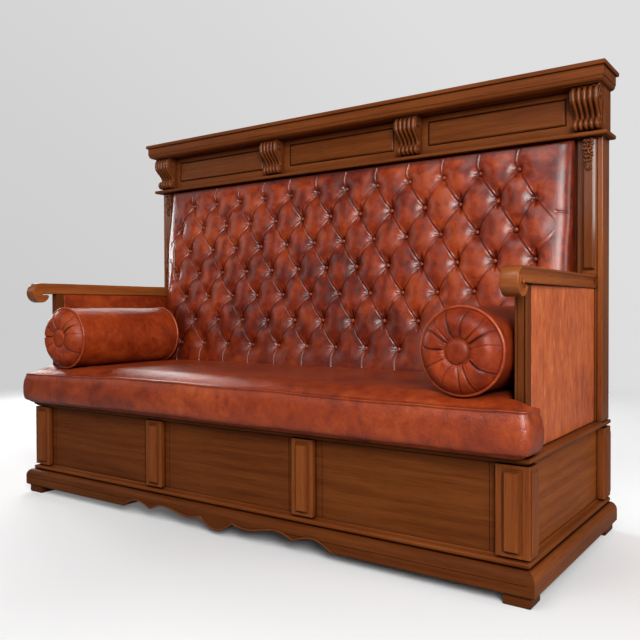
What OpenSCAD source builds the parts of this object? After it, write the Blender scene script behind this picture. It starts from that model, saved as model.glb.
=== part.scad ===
// Panelled three-seat sofa: box base, high tufted back with a frieze and cornice,
// two arms with scrolled rails, one loose T-shaped seat cushion and two
// loose round bolsters. Millimetres, +Z up, +X to the right as seen from the
// front, front edge towards -Y, origin on the floor under the middle.

/* [Overall] */
// Half width of the base plinth
plinth_x = 1020; // [1000:1:1060]
// Distance from the origin forward to the plinth's front face
plinth_y = 388.5; // [384:0.5:392]
// Flush plane of the base, the posts and the frieze at the rear
back_y = 400; // [396:1:406]
// Clear height of the plinth over the floor
foot_h = 28; // [20:1:32]

/* [Base box] */
// Top of the plinth
plinth_top = 88; // [84:1:94]
// Underside of the top moulding
panel_top = 335; // [325:1:345]
// Height of the seat deck
deck_z = 355; // [350:1:362]
// Thickness of the base panels
panel_t = 18; // [15:1:22]
// Half distance between the two middle pilasters, centre to centre
mid_pilaster_x = 317; // [300:1:330]

/* [Back] */
// Underside of the necking moulding
neck_z = 1255; // [1230:1:1260]
// Bottom of the frieze
frieze_z0 = 1268; // [1262:1:1275]
// Top of the frieze
frieze_z1 = 1409; // [1400:1:1415]
// Overall height of the sofa
total_h = 1471; // [1465:1:1478]
// Front plane of the posts and of the frieze
post_front = 320; // [316:1:324]

/* [Tufting] */
// Sideways spacing of the tufting buttons
tuft_dx = 134.8; // [125:0.1:138]
// Height of the topmost row of buttons
tuft_top = 1170.7; // [1150:0.1:1180]
// Spacing of the rows
tuft_dz = 99.9; // [95:0.1:105]
// Number of rows
tuft_rows = 7; // [5:1:7]

/* [Arms] */
// Top of the arm rail
arm_top = 818; // [800:1:840]
// Depth of the arm rail
arm_h = 40; // [34:1:46]
// Radius of the scroll at the front of the rail
scroll_r = 38; // [34:1:39]

/* [Soft parts] */
// Top of the seat cushion
cushion_top = 491; // [480:1:491]
// Front seam height of the seat cushion
cushion_seam = 462; // [450:1:470]
// Radius of a bolster over its piping
bolster_r = 116.5; // [105:0.5:116.5]
// Distance of a bolster's axis from the middle
bolster_x = 816.5; // [800:0.5:816.5]

/* [Hidden] */
$fn = 48;

plinth_d = 67.5;
bead_d = 24;
top_d = 60;
panel_x = 975;
panel_y = -342;
lip_x = panel_x + 25;
lip_y = panel_y - 22;
post_x0 = 912;
post_x1 = 993;
arm_x0 = 937.5;
arm_front = -300;
leather_x = 909;
rake = 0.1357;
rake_angle = atan(rake);
bolster_z = cushion_top + 0.5 + bolster_r;
wood_mid = "#6b4022";
wood_dark = "#4d2b14";
leather_mid = "#9a4222";
leather_dark = "#74301a";

// front plane of the raked back at height z
function back_face(z) = rake * z + 105.4;

// lower edge of the front apron, symmetric about the middle
function apron(x) =
    let (a = abs(x))
    a < 68 ? 19 + 30 * (1 - cos(90 * a / 68)) :
    a < 125 ? 40 + 9 * (1 - sin(90 * (a - 68) / 57)) :
    a < 240 ? 40 + 8.5 * (1 - cos(180 * (a - 125) / 115)) :
    a < 305 ? 57 - 18 * (1 - cos(90 * (a - 240) / 65)) :
    a < 372 ? 39 + 17.5 * sin(90 * (a - 305) / 67) :
    a < 445 ? 56.5 - 28.5 * (1 - cos(90 * (a - 372) / 73)) : foot_h;

// profiles are [distance out from the inner face, height]
function plinth_profile() = concat(
    [[0, foot_h], [plinth_d - 4, foot_h], [plinth_d, foot_h + 4]],
    [for (i = [0:8]) [plinth_d - 21 + 21 * cos(90 * i / 8), plinth_top - 24 + 24 * sin(90 * i / 8)]],
    [[0, plinth_top]]);
function bead_profile() = concat(
    [[0, plinth_top]],
    [for (i = [0:8]) [bead_d - 6 + 6 * sin(180 * i / 8), plinth_top + 7.5 - 7.5 * cos(180 * i / 8)]],
    [for (i = [0:4]) [10 - 10 * sin(90 * i / 4) + 2, plinth_top + 21 - 5 * cos(90 * i / 4)]],
    [[0, plinth_top + 21]]);
function top_profile() = concat(
    [[0, panel_top]],
    [for (i = [0:6]) [top_d - 25 + 20 * sin(90 * i / 6), panel_top + 8 - 8 * cos(90 * i / 6)]],
    [[top_d, panel_top + 9.5], [top_d, deck_z - 2], [top_d - 2, deck_z], [0, deck_z]]);

module along_x(p, x0, x1) { translate([x0, 0, 0]) rotate([90, 0, 90]) linear_extrude(x1 - x0) polygon(p); }
module along_y(p, y0, y1) { translate([0, y1, 0]) rotate([90, 0, 0]) linear_extrude(y1 - y0) polygon(p); }
module along_z(p, z0, z1) { translate([0, 0, z0]) linear_extrude(z1 - z0) polygon(p); }
module box(a, b) { translate(a) cube([b[0] - a[0], b[1] - a[1], b[2] - a[2]]); }
module right_and_left() { children(); mirror([1, 0, 0]) children(); }

// a front length of moulding, mitred at both ends
module mould_front(prof, xi, yi, d, z0, z1) {
    intersection() {
        along_x([for (q = prof) [yi - q[0], q[1]]], -(xi + d), xi + d);
        along_z([[-(xi + d), yi - d], [xi + d, yi - d], [xi, yi], [-xi, yi]], z0, z1);
    }
}
// a side length of moulding on +X, mitred at its front end
module mould_side(prof, xi, yi, d, yb, z0, z1) {
    intersection() {
        along_y([for (q = prof) [xi + q[0], q[1]]], yi - d, yb);
        along_z([[xi + d, yi - d], [xi + d, yb], [xi, yb], [xi, yi]], z0, z1);
    }
}

// ---------------- base ----------------
module foot(x0, y0, y1) {
    color(wood_dark) difference() {
        box([x0, y0, 0], [x0 + 71, y1, foot_h]);
        // small worn bevel along the outer lower edge
        translate([x0 + 71, (y0 + y1) / 2, 0]) rotate([0, 45, 0]) cube([4, y1 - y0 + 2, 4], center = true);
    }
}
module foot_front_right() { foot(937, -378, -314); }
module foot_front_left() { mirror([1, 0, 0]) foot(937, -378, -314); }
module foot_rear_right() { foot(937, 308, 392); }
module foot_rear_left() { mirror([1, 0, 0]) foot(937, 308, 392); }

module plinth_front() {
    xi = plinth_x - plinth_d;
    yi = -plinth_y + plinth_d;
    color(wood_mid) difference() {
        mould_front(plinth_profile(), xi, yi, plinth_d, foot_h - 12, plinth_top);
        // scalloped lower edge
        along_y(concat([[-446, -5]], [for (x = [-446:4:446]) [x, apron(x) > foot_h ? apron(x) : foot_h - 1]], [[446, -5]]), -plinth_y - 5, yi + 5);
        // fine joint line between the moulding and the apron
        right_and_left() box([275, -plinth_y - 1, 57.4], [plinth_x - 20, -plinth_y + 1.2, 58.8]);
    }
    // pendant lobe in the middle of the apron
    color(wood_mid) along_y(concat([[-36, foot_h]], [for (x = [-36:3:36]) [x, min(apron(x), foot_h)]], [[36, foot_h], [36, foot_h + 4], [-36, foot_h + 4]]), -plinth_y, yi);
}
module plinth_right() { color(wood_mid) mould_side(plinth_profile(), plinth_x - plinth_d, -plinth_y + plinth_d, plinth_d, back_y, foot_h, plinth_top); }
module plinth_left() { mirror([1, 0, 0]) plinth_right(); }
module plinth_back() { color(wood_dark) box([-(plinth_x - plinth_d), back_y - 40, foot_h], [plinth_x - plinth_d, back_y, plinth_top]); }

module base_bead_front() { color(wood_mid) mould_front(bead_profile(), panel_x, panel_y, bead_d, plinth_top, plinth_top + 21); }
module base_bead_right() { color(wood_mid) mould_side(bead_profile(), panel_x, panel_y, bead_d, back_y, plinth_top, plinth_top + 21); }
module base_bead_left() { mirror([1, 0, 0]) base_bead_right(); }

module front_panel() {
    color(wood_mid) difference() {
        box([-panel_x, panel_y, plinth_top], [panel_x, panel_y + panel_t, panel_top]);
        for (x = [-889, -mid_pilaster_x - 61, -mid_pilaster_x + 61, mid_pilaster_x - 61, mid_pilaster_x + 61, 889])
            box([x - 1, panel_y - 1, plinth_top + 21], [x + 1, panel_y + 1.5, panel_top + 1]);
    }
}
module side_panel_right() {
    color(wood_mid) difference() {
        box([panel_x - panel_t, panel_y + panel_t, plinth_top], [panel_x, back_y - panel_t, panel_top]);
        for (y = [-280, 240]) box([panel_x - 1.5, y - 1, plinth_top + 21], [panel_x + 1, y + 1, panel_top + 1]);
    }
}
module side_panel_left() { mirror([1, 0, 0]) side_panel_right(); }
module base_back_panel() { color(wood_dark) box([-panel_x, back_y - panel_t, plinth_top], [panel_x, back_y, panel_top]); }

// raised bevelled strip standing on a pilaster's face at y = f
module raised_strip(xc, w, f, h, z0, z1) {
    intersection() {
        along_z([[xc - w / 2, f + 1], [xc - w / 2, f], [xc - w / 2 + 4.5, f - h], [xc + w / 2 - 4.5, f - h], [xc + w / 2, f], [xc + w / 2, f + 1]], z0, z1);
        along_x([[f + 1, z0], [f, z0], [f - h, z0 + 4.5], [f - h, z1 - 4.5], [f, z1], [f + 1, z1]], xc - w, xc + w);
    }
}
module corner_pilaster_right() {
    z0 = plinth_top + 21;
    f = panel_y - 17;
    color(wood_mid) {
        difference() {
            along_z([[911, f], [996, f], [999, f + 3], [999, -301], [panel_x, -301], [panel_x, panel_y], [911, panel_y]], z0, panel_top);
            box([996, f + 4, z0 + 9], [1000, f + 8, panel_top - 9]);
            box([927, f - 1, z0 + 9], [979, f + 1.5, panel_top - 9]);
        }
        raised_strip(953, 42, f + 1.5, 11.5, z0 + 12, panel_top - 14);
        intersection() {
            along_z([[998, f + 8], [999, f + 8], [1003, f + 11], [1003, -308], [999, -304], [998, -304]], z0 + 12, panel_top - 14);
            along_y([[998, z0 + 12], [999, z0 + 12], [1003, z0 + 15.5], [1003, panel_top - 17.5], [999, panel_top - 14], [998, panel_top - 14]], f + 4, -301);
        }
    }
}
module corner_pilaster_left() { mirror([1, 0, 0]) corner_pilaster_right(); }
module mid_pilasters() {
    z0 = plinth_top + 21;
    f = panel_y - 17;
    color(wood_mid) right_and_left() {
        difference() {
            box([mid_pilaster_x - 38.5, f, z0], [mid_pilaster_x + 38.5, panel_y, panel_top]);
            box([mid_pilaster_x - 23, f - 1, z0 + 9], [mid_pilaster_x + 23, f + 1.5, panel_top - 9]);
        }
        raised_strip(mid_pilaster_x, 39, f + 1.5, 11.5, z0 + 12, panel_top - 14);
    }
}
module rear_pilasters() {
    color(wood_mid) right_and_left()
        union() {
            along_z([[panel_x, 325], [997, 325], [999, 327], [999, back_y], [panel_x, back_y]], plinth_top + 21, panel_top);
            intersection() {
                along_z([[998, 340], [999, 340], [1003, 343.5], [1003, 388.5], [999, 392], [998, 392]], plinth_top + 33, panel_top - 14);
                along_y([[998, plinth_top + 33], [999, plinth_top + 33], [1003, plinth_top + 36.5], [1003, panel_top - 17.5], [999, panel_top - 14], [998, panel_top - 14]], 330, 396);
            }
        }
}

module top_moulding_front() { color(wood_mid) mould_front(top_profile(), panel_x - 35, panel_y + 38, top_d, panel_top, deck_z); }
module top_moulding_right() { color(wood_mid) mould_side(top_profile(), panel_x - 35, panel_y + 38, top_d, back_y, panel_top, deck_z); }
module top_moulding_left() { mirror([1, 0, 0]) top_moulding_right(); }

screw_at = [for (x = [-840, -280, 280, 840]) for (y = [-302, 362]) [x, y]];
deck_y0 = panel_y + 38;
module deck_bearers() {
    xi = panel_x - panel_t;
    color("#b08a5c") difference() {
        union() {
            box([-xi, panel_y + panel_t, panel_top - 40], [xi, panel_y + panel_t + 42, panel_top]);
            box([-xi, back_y - panel_t - 42, panel_top - 40], [xi, back_y - panel_t, panel_top]);
            right_and_left() box([xi - 40, panel_y + panel_t + 42, panel_top - 40], [xi, back_y - panel_t - 42, panel_top]);
            right_and_left() box([297, panel_y + panel_t + 42, panel_top - 40], [337, back_y - panel_t - 42, panel_top]);
        }
        for (p = screw_at) translate([p[0], p[1] + (p[1] < 0 ? 12 : 0), panel_top - 25]) cylinder(h = 26, r = 2.55);
    }
}
module seat_deck() {
    color("#b08a5c") difference() {
        box([-(panel_x - 35), deck_y0, panel_top], [panel_x - 35, back_y - panel_t, deck_z]);
        for (p = screw_at) translate([p[0], p[1] + (p[1] < 0 ? 12 : 0), 0]) {
            translate([0, 0, panel_top - 1]) cylinder(h = 22, r = 2.55);
            translate([0, 0, deck_z - 4]) cylinder(h = 5, r = 5.5);
        }
    }
}
module deck_screws() {
    color("silver") for (p = screw_at) translate([p[0], p[1] + (p[1] < 0 ? 12 : 0), 0]) difference() {
        union() {
            translate([0, 0, deck_z - 4]) cylinder(h = 3, r = 5);
            translate([0, 0, panel_top - 20]) cylinder(h = deck_z - panel_top + 17, r = 2.5);
        }
        for (a = [0, 90]) translate([0, 0, deck_z - 1.5]) rotate([0, 0, a]) cube([6, 1.2, 2], center = true);
    }
}

// ---------------- loose seat cushion ----------------
module t_cushion(g) {
    z0 = deck_z + 0.5 + g;
    difference() {
        along_x([[-410 + g, z0], [-410 + g, cushion_seam - g], [-395 + g, cushion_seam + 3 - g], [-330, 478 - g], [-250, cushion_top - g], [145 - g, cushion_top - g], [145 - g, z0]], -1000 + g, 1000 - g);
        right_and_left() box([933 - g, -303 - g, 300], [1010, 160, 520]);
    }
}
module seat_cushion_cover() { color(leather_mid) difference() { t_cushion(0); t_cushion(2.5); } }
module seat_cushion_foam() { color("#e8dcc0") t_cushion(3); }

// ---------------- loose bolsters ----------------
bol_y0 = -345;
bol_y1 = 123;
module rod_y(r, y0, y1) { translate([0, y1, 0]) rotate([90, 0, 0]) cylinder(h = y1 - y0, r = r, $fn = 96); }
module at_bolster(s) { translate([s * bolster_x, 0, bolster_z]) children(); }
module bolster_cover(s) {
    color(leather_mid) at_bolster(s) difference() {
        rod_y(bolster_r - 3.5, bol_y0, bol_y1);
        rod_y(bolster_r - 6, bol_y0 + 2.5, bol_y1 - 2.5);
    }
}
module bolster_core(s) { color("#e8dcc0") at_bolster(s) rod_y(bolster_r - 6.4, bol_y0 + 3, bol_y1 - 3); }
module bolster_piping(s) {
    color(leather_dark) at_bolster(s) for (y = [bol_y0 - 3.5, bol_y1 + 3.5]) translate([0, y, 0]) rotate([90, 0, 0])
        rotate_extrude($fn = 96) translate([bolster_r - 3.5, 0]) circle(r = 3.5, $fn = 24);
}
module bolster_buttons(s) {
    color(leather_dark) at_bolster(s) {
        rod_y(27, bol_y0 - 8, bol_y0);
        rod_y(27, bol_y1, bol_y1 + 5);
    }
}
module bolster_left_cover() { bolster_cover(-1); }
module bolster_left_core() { bolster_core(-1); }
module bolster_left_piping() { bolster_piping(-1); }
module bolster_left_buttons() { bolster_buttons(-1); }
module bolster_right_cover() { bolster_cover(1); }
module bolster_right_core() { bolster_core(1); }
module bolster_right_piping() { bolster_piping(1); }
module bolster_right_buttons() { bolster_buttons(1); }

// ---------------- upholstered back ----------------
function wedge(g, gt, yb) = [[back_face(deck_z) + g, deck_z], [back_face(neck_z - 1) + g, neck_z - 1 - gt], [yb, neck_z - 1 - gt], [yb, deck_z]];
module back_leather() {
    color(leather_mid) difference() {
        along_x(wedge(0, 0, 345), -leather_x, leather_x);
        along_x([[back_face(deck_z) + 2.5, deck_z - 1], [back_face(neck_z) + 2.5, neck_z - 3.5], [350, neck_z - 3.5], [350, deck_z - 1]], -leather_x + 2.5, leather_x - 2.5);
    }
}
module back_foam() { color("#e8dcc0") along_x([[back_face(deck_z) + 3, deck_z], [back_face(neck_z) + 3, neck_z - 4], [345, neck_z - 4], [345, deck_z]], -leather_x + 3, leather_x - 3); }
module back_board() { color("#b08a5c") box([-911, 345, deck_z], [911, 360, neck_z]); }
module tuft_buttons() {
    color(leather_dark) for (r = [0:tuft_rows - 1]) {
        z = tuft_top - r * tuft_dz;
        n = r % 2 == 0 ? 12 : 13;
        for (i = [0:n - 1]) translate([(i - (n - 1) / 2) * tuft_dx, back_face(z), z]) rotate([90 - rake_angle, 0, 0]) cylinder(h = 6, r = 7, $fn = 24);
    }
}
module rear_panel() { color(wood_dark) box([-post_x0, back_y - 15, deck_z], [post_x0, back_y, neck_z]); }

// ---------------- arms ----------------
module arm_post_right() {
    color(wood_mid) difference() {
        along_z([[arm_x0, arm_front], [arm_x0 + 5, arm_front], [arm_x0 + 6.5, arm_front + 2.5], [arm_x0 + 8, arm_front],
            [arm_x0 + 23, arm_front], [arm_x0 + 25, arm_front + 4], [arm_x0 + 27, arm_front], [arm_x0 + 30.5, arm_front], [arm_x0 + 32.5, arm_front + 2],
            [arm_x0 + 32.5, -268], [arm_x0, -268]], deck_z, arm_top - arm_h);
    }
}
module arm_post_left() { mirror([1, 0, 0]) arm_post_right(); }
module arm_rail_right() {
    x1 = arm_x0 + 47.5;
    z0 = arm_top - arm_h;
    color(wood_mid) difference() {
        union() {
            along_y(concat([[arm_x0, z0], [x1 - 3, z0], [x1, z0 + 3], [x1, z0 + 7]],
                [for (i = [0:6]) [x1 - 5 * sin(180 * i / 6), z0 + 7 + 26 * i / 6]],
                [[x1, arm_top - 3], [x1 - 3, arm_top], [arm_x0 + 3, arm_top], [arm_x0, arm_top - 3]]), -362, post_front);
            translate([arm_x0, -365, arm_top - scroll_r + 2]) rotate([90, 0, 90]) cylinder(h = 47.5, r = scroll_r, $fn = 96);
        }
        // eye of the scroll, sunk into the outer end
        translate([x1 - 4, -352, arm_top - scroll_r - 4]) rotate([90, 0, 90]) difference() { cylinder(h = 6, r = 17); translate([0, 0, -1]) cylinder(h = 8, r = 12); }
    }
}
module arm_rail_left() { mirror([1, 0, 0]) arm_rail_right(); }
module arm_slab(x0, x1) { box([x0, -268, deck_z], [x1, post_front, arm_top - arm_h]); }
module arm_inner_leather_right() { color(leather_mid) arm_slab(arm_x0, 948); }
module arm_board_right() { color("#b08a5c") arm_slab(948, 960); }
module arm_outer_leather_right() { color(leather_mid) arm_slab(960, 968); }
module arm_inner_leather_left() { mirror([1, 0, 0]) arm_inner_leather_right(); }
module arm_board_left() { mirror([1, 0, 0]) arm_board_right(); }
module arm_outer_leather_left() { mirror([1, 0, 0]) arm_outer_leather_right(); }

// ---------------- back frame and entablature ----------------
module back_post_right() {
    color(wood_mid) difference() {
        along_z([[post_x0, post_front + 14], [932, post_front + 14], [932, post_front], [974, post_front], [976, post_front + 3], [978, post_front], [991, post_front], [post_x1, post_front + 2],
            [post_x1, 352], [post_x1 - 3, 354], [post_x1, 356], [post_x1, back_y], [post_x0, back_y]], deck_z, neck_z);
        translate([post_x1 + 0.5, 300, deck_z - 1]) rotate([0, -20, 0]) translate([-2, 0, -20]) cube([20, 120, 24]);
    }
}
module back_post_left() { mirror([1, 0, 0]) back_post_right(); }
module post_strips() {
    color(wood_mid) right_and_left() intersection() {
        along_z([[934, post_front], [938, post_front - 9], [964.5, post_front - 9], [972, post_front]], 835, neck_z);
        along_x([[post_front, 835], [post_front - 9, 844], [post_front - 9, neck_z], [post_front, neck_z]], 930, 980);
    }
}
module carved_drops() {
    color(wood_dark) right_and_left() difference() {
        translate([949, post_front - 9, 0]) rotate([90, 0, 0]) linear_extrude(8) polygon([[0, 1150], [7, 1166], [12, 1196], [14, 1232], [13, 1252], [-13, 1252], [-14, 1232], [-12, 1196], [-7, 1166]]);
        for (z = [1180, 1205, 1230]) for (s = [-1, 1]) translate([949 + 7 * s, post_front - 17, z]) rotate([0, -35 * s, 0]) cube([12, 3, 2], center = true);
    }
}
// a moulded board: the same edge on the front and on both sides
module moulded_board(edge, xc, yc, yb) {
    p = edge;
    z0 = p[0][1];
    z1 = p[len(p) - 1][1];
    intersection() {
        along_x(concat([[yb, z0]], [for (q = p) [yc - q[0], q[1]]], [[yb, z1]]), -xc - 60, xc + 60);
        along_y(concat([for (q = p) [xc + q[0], q[1]]], [for (i = [len(p) - 1:-1:0]) [-xc - p[i][0], p[i][1]]]), yc - 60, yb);
    }
}
module necking_moulding() { color(wood_mid) moulded_board([[9, neck_z], [12, neck_z + 3], [12, frieze_z0 - 1.5], [10.5, frieze_z0]], 1002, 298, back_y); }

panel_fields = [[-877, -388], [-242, 242], [388, 877]];
module frieze_box() {
    color(wood_mid) difference() {
        box([-997, post_front, frieze_z0], [997, back_y, frieze_z1]);
        box([-970, post_front + 25, frieze_z0 + 20], [970, back_y - 20, frieze_z1 + 1]);
        for (q = panel_fields) box([q[0] - 3, post_front - 1, 1301], [q[1] + 3, post_front + 6, 1389]);
    }
}
module frieze_panels() {
    color(wood_mid) for (q = panel_fields) intersection() {
        along_z([[q[0], post_front + 6], [q[0], post_front + 2.5], [q[0] + 5, post_front - 1.5], [q[1] - 5, post_front - 1.5], [q[1], post_front + 2.5], [q[1], post_front + 6]], 1304, 1386);
        along_x([[post_front + 6, 1304], [post_front + 2.5, 1304], [post_front - 1.5, 1309], [post_front - 1.5, 1381], [post_front + 2.5, 1386], [post_front + 6, 1386]], q[0] - 1, q[1] + 1);
    }
}
function corbel_front(z) = z > 1385 ? 264 + 12 * (1 - cos(90 * (z - 1385) / 24)) : 264 + 38 * (1 - cos(180 * min(1, max(0, 1373 - z) / 58))) / 2;
corbel_outline = concat(
    [[post_front, frieze_z1]],
    [for (i = [0:8]) let (z = frieze_z1 - i * 11.9) [corbel_front(z), z]],
    [for (i = [0:4]) [297 - 15 * sin(180 * i / 4), 1289 + 15 * cos(180 * i / 4)]],
    [[post_front, frieze_z0]]);
module corbel(xc) { along_x(corbel_outline, xc - 44, xc + 44); }
module corbels() { color(wood_dark) for (x = [-953, -318, 318, 953]) corbel(x); }

module cornice_ogee() {
    e = concat([[-17, frieze_z1], [-15, frieze_z1 + 2]],
        [for (i = [1:6]) [-15 + 13 * sin(90 * i / 6), frieze_z1 + 15 - 13 * cos(90 * i / 6)]],
        [[-2, frieze_z1 + 17], [0, frieze_z1 + 17.5], [0, total_h - 15]]);
    color(wood_mid) moulded_board(e, 1013, 246, back_y);
}
module cornice_cap() {
    e = [[-2, total_h - 15], [0, total_h - 13], [0, total_h - 3], [-3, total_h]];
    color(wood_mid) moulded_board(e, 1020.6, 238.6, 410);
}

foot_front_left();
foot_front_right();
foot_rear_left();
foot_rear_right();
plinth_front();
plinth_left();
plinth_right();
plinth_back();
base_bead_front();
base_bead_left();
base_bead_right();
front_panel();
side_panel_left();
side_panel_right();
base_back_panel();
corner_pilaster_left();
corner_pilaster_right();
mid_pilasters();
rear_pilasters();
top_moulding_front();
top_moulding_left();
top_moulding_right();
deck_bearers();
seat_deck();
deck_screws();
seat_cushion_cover();
seat_cushion_foam();
bolster_left_cover();
bolster_left_core();
bolster_left_piping();
bolster_left_buttons();
bolster_right_cover();
bolster_right_core();
bolster_right_piping();
bolster_right_buttons();
back_leather();
back_foam();
back_board();
tuft_buttons();
arm_post_left();
arm_rail_left();
arm_board_left();
arm_inner_leather_left();
arm_outer_leather_left();
arm_post_right();
arm_rail_right();
arm_board_right();
arm_inner_leather_right();
arm_outer_leather_right();
back_post_left();
back_post_right();
post_strips();
carved_drops();
rear_panel();
necking_moulding();
frieze_box();
frieze_panels();
corbels();
cornice_ogee();
cornice_cap();
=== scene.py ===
import math

import bpy
import numpy as np
from mathutils import Matrix, Vector


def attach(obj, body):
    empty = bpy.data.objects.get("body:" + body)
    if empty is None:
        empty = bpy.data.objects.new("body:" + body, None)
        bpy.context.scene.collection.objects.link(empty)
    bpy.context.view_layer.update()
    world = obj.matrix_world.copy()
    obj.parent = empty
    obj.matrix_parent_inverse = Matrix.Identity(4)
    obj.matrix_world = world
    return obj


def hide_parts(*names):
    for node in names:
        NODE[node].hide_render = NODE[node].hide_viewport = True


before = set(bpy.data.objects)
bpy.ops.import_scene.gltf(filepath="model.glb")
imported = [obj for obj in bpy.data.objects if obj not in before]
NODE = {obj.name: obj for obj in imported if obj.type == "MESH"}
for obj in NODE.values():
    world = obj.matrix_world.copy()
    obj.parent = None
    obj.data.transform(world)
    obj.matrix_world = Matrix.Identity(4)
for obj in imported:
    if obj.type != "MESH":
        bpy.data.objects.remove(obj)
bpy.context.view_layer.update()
scene = bpy.context.scene

# ------------------------------------------------------------------ camera
CAM_AT = Vector((1.5941, -2.0707, 0.7187))
YAW, PITCH, ROLL = math.radians(35.24), math.radians(0.938), math.radians(-0.22)
cam_data = bpy.data.cameras.new("photo_camera")
cam_data.sensor_fit = "HORIZONTAL"
cam_data.sensor_width = 36.0
cam_data.lens = 41.11
cam = bpy.data.objects.new("photo_camera", cam_data)
scene.collection.objects.link(cam)
fwd = Vector((-math.sin(YAW) * math.cos(PITCH), math.cos(YAW) * math.cos(PITCH), -math.sin(PITCH)))
right = Vector((math.cos(YAW), math.sin(YAW), 0.0))
up = right.cross(fwd)
r2 = right * math.cos(ROLL) + up * math.sin(ROLL)
u2 = up * math.cos(ROLL) - right * math.sin(ROLL)
cam.matrix_world = Matrix((
    (r2.x, u2.x, -fwd.x, CAM_AT.x),
    (r2.y, u2.y, -fwd.y, CAM_AT.y),
    (r2.z, u2.z, -fwd.z, CAM_AT.z),
    (0, 0, 0, 1)))
scene.camera = cam

# ------------------------------------------------------------------ small helpers
PI = math.pi


def sstep(x, a, b):
    t = np.clip((np.asarray(x, float) - a) / (b - a), 0.0, 1.0)
    return t * t * (3 - 2 * t)


def hashed(ix, iy, seed):
    h = (ix.astype(np.int64) * 374761393 + iy.astype(np.int64) * 668265263 + seed * 974634777) & 0x7FFFFFFF
    h = ((h ^ (h >> 13)) * 1274126177) & 0x7FFFFFFF
    h = h ^ (h >> 16)
    return (h & 0xFFFF) / 65535.0 * 2 - 1


def vnoise(x, y, seed=1):
    """Smooth value noise in [-1, 1]; the lattice spacing is 1."""
    x, y = np.asarray(x, float), np.asarray(y, float)
    ix, iy = np.floor(x), np.floor(y)
    fx, fy = x - ix, y - iy
    fx, fy = fx ** 3 * (fx * (fx * 6 - 15) + 10), fy ** 3 * (fy * (fy * 6 - 15) + 10)
    a, b = hashed(ix, iy, seed), hashed(ix + 1, iy, seed)
    c, d = hashed(ix, iy + 1, seed), hashed(ix + 1, iy + 1, seed)
    return (a * (1 - fx) + b * fx) * (1 - fy) + (c * (1 - fx) + d * fx) * fy


def fnoise(x, y, seed=1, octaves=3):
    total, amp = 0.0, 1.0
    for i in range(octaves):
        total = total + amp * vnoise(np.asarray(x) * 2 ** i, np.asarray(y) * 2 ** i, seed + 17 * i)
        amp *= 0.5
    return total / 1.75


def bump1(x, c, w):
    return np.exp(-(((np.asarray(x, float) - c) / w) ** 2))


def add_mesh(name, verts, faces, smooth=True, attrs=None):
    me = bpy.data.meshes.new(name)
    me.from_pydata(np.asarray(verts, float).reshape(-1, 3).tolist(), [], [list(map(int, f)) for f in faces])
    if attrs:
        for k, values in attrs.items():
            a = me.attributes.new(k, "FLOAT", "POINT")
            a.data.foreach_set("value", np.asarray(values, np.float32).ravel())
    me.polygons.foreach_set("use_smooth", [smooth] * len(me.polygons))
    me.validate()
    me.update()
    ob = bpy.data.objects.new(name, me)
    scene.collection.objects.link(ob)
    return ob


def grid_faces(nu, nv, wrap_u=False, wrap_v=False, flip=False, offset=0):
    iu = np.arange(nu if wrap_u else nu - 1)
    iv = np.arange(nv if wrap_v else nv - 1)
    a, b = np.meshgrid(iu, iv, indexing="ij")
    a2, b2 = (a + 1) % nu, (b + 1) % nv
    q = np.stack([a * nv + b, a2 * nv + b, a2 * nv + b2, a * nv + b2], -1).reshape(-1, 4) + offset
    return q[:, ::-1] if flip else q


class Parts:
    """Collects several pieces of geometry into one mesh."""

    def __init__(self):
        self.v, self.f, self.n = [], [], 0

    def add(self, verts, faces):
        verts = np.asarray(verts, float).reshape(-1, 3)
        self.v.append(verts)
        self.f += [[int(i) + self.n for i in f] for f in faces]
        self.n += len(verts)

    def grid(self, P, wrap_u=False, wrap_v=False, flip=False):
        P = np.asarray(P, float)
        self.add(P, grid_faces(P.shape[0], P.shape[1], wrap_u, wrap_v, flip))

    def make(self, name, smooth=True):
        return add_mesh(name, np.concatenate(self.v), self.f, smooth)


def modify(ob, kind, name=None, **values):
    m = ob.modifiers.new(name or kind.lower(), kind)
    for k, v in values.items():
        setattr(m, k, v)
    return m


def apply_modifiers(ob):
    dg = bpy.context.evaluated_depsgraph_get()
    me = bpy.data.meshes.new_from_object(ob.evaluated_get(dg), depsgraph=dg)
    old = ob.data
    ob.modifiers.clear()
    ob.data = me
    me.name = ob.name
    bpy.data.meshes.remove(old)
    return ob


def outward(ob):
    """Turns all faces of a closed mesh outward."""
    import bmesh
    bm = bmesh.new()
    bm.from_mesh(ob.data)
    bmesh.ops.remove_doubles(bm, verts=bm.verts, dist=1e-6)
    bmesh.ops.recalc_face_normals(bm, faces=bm.faces)
    bm.to_mesh(ob.data)
    bm.free()
    ob.data.update()
    return ob


def tube(path, radius, n=10, closed=False, cap=True):
    """Verts and faces of a tube along path, with rings kept from twisting."""
    P = np.asarray(path, float)
    m = len(P)
    rad = np.broadcast_to(np.asarray(radius, float), (m,))
    if closed:
        T = np.roll(P, -1, 0) - np.roll(P, 1, 0)
    else:
        T = np.gradient(P, axis=0)
    T /= np.linalg.norm(T, axis=1)[:, None]
    ref = np.array([0.0, 0.0, 1.0]) if abs(T[0][2]) < 0.9 else np.array([1.0, 0.0, 0.0])
    N = np.zeros_like(P)
    cur = ref - T[0] * (ref @ T[0])
    cur /= np.linalg.norm(cur)
    for i in range(m):
        cur = cur - T[i] * (cur @ T[i])
        cur /= np.linalg.norm(cur)
        N[i] = cur
    B = np.cross(T, N)
    a = np.linspace(0, 2 * PI, n, endpoint=False)
    rings = P[:, None, :] + rad[:, None, None] * (np.cos(a)[None, :, None] * N[:, None, :] + np.sin(a)[None, :, None] * B[:, None, :])
    faces = grid_faces(m, n, closed, True).tolist()
    verts = rings.reshape(-1, 3)
    if cap and not closed:
        faces.append(list(range(n)))
        faces.append([(m - 1) * n + i for i in range(n)][::-1])
    return verts, faces


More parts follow.
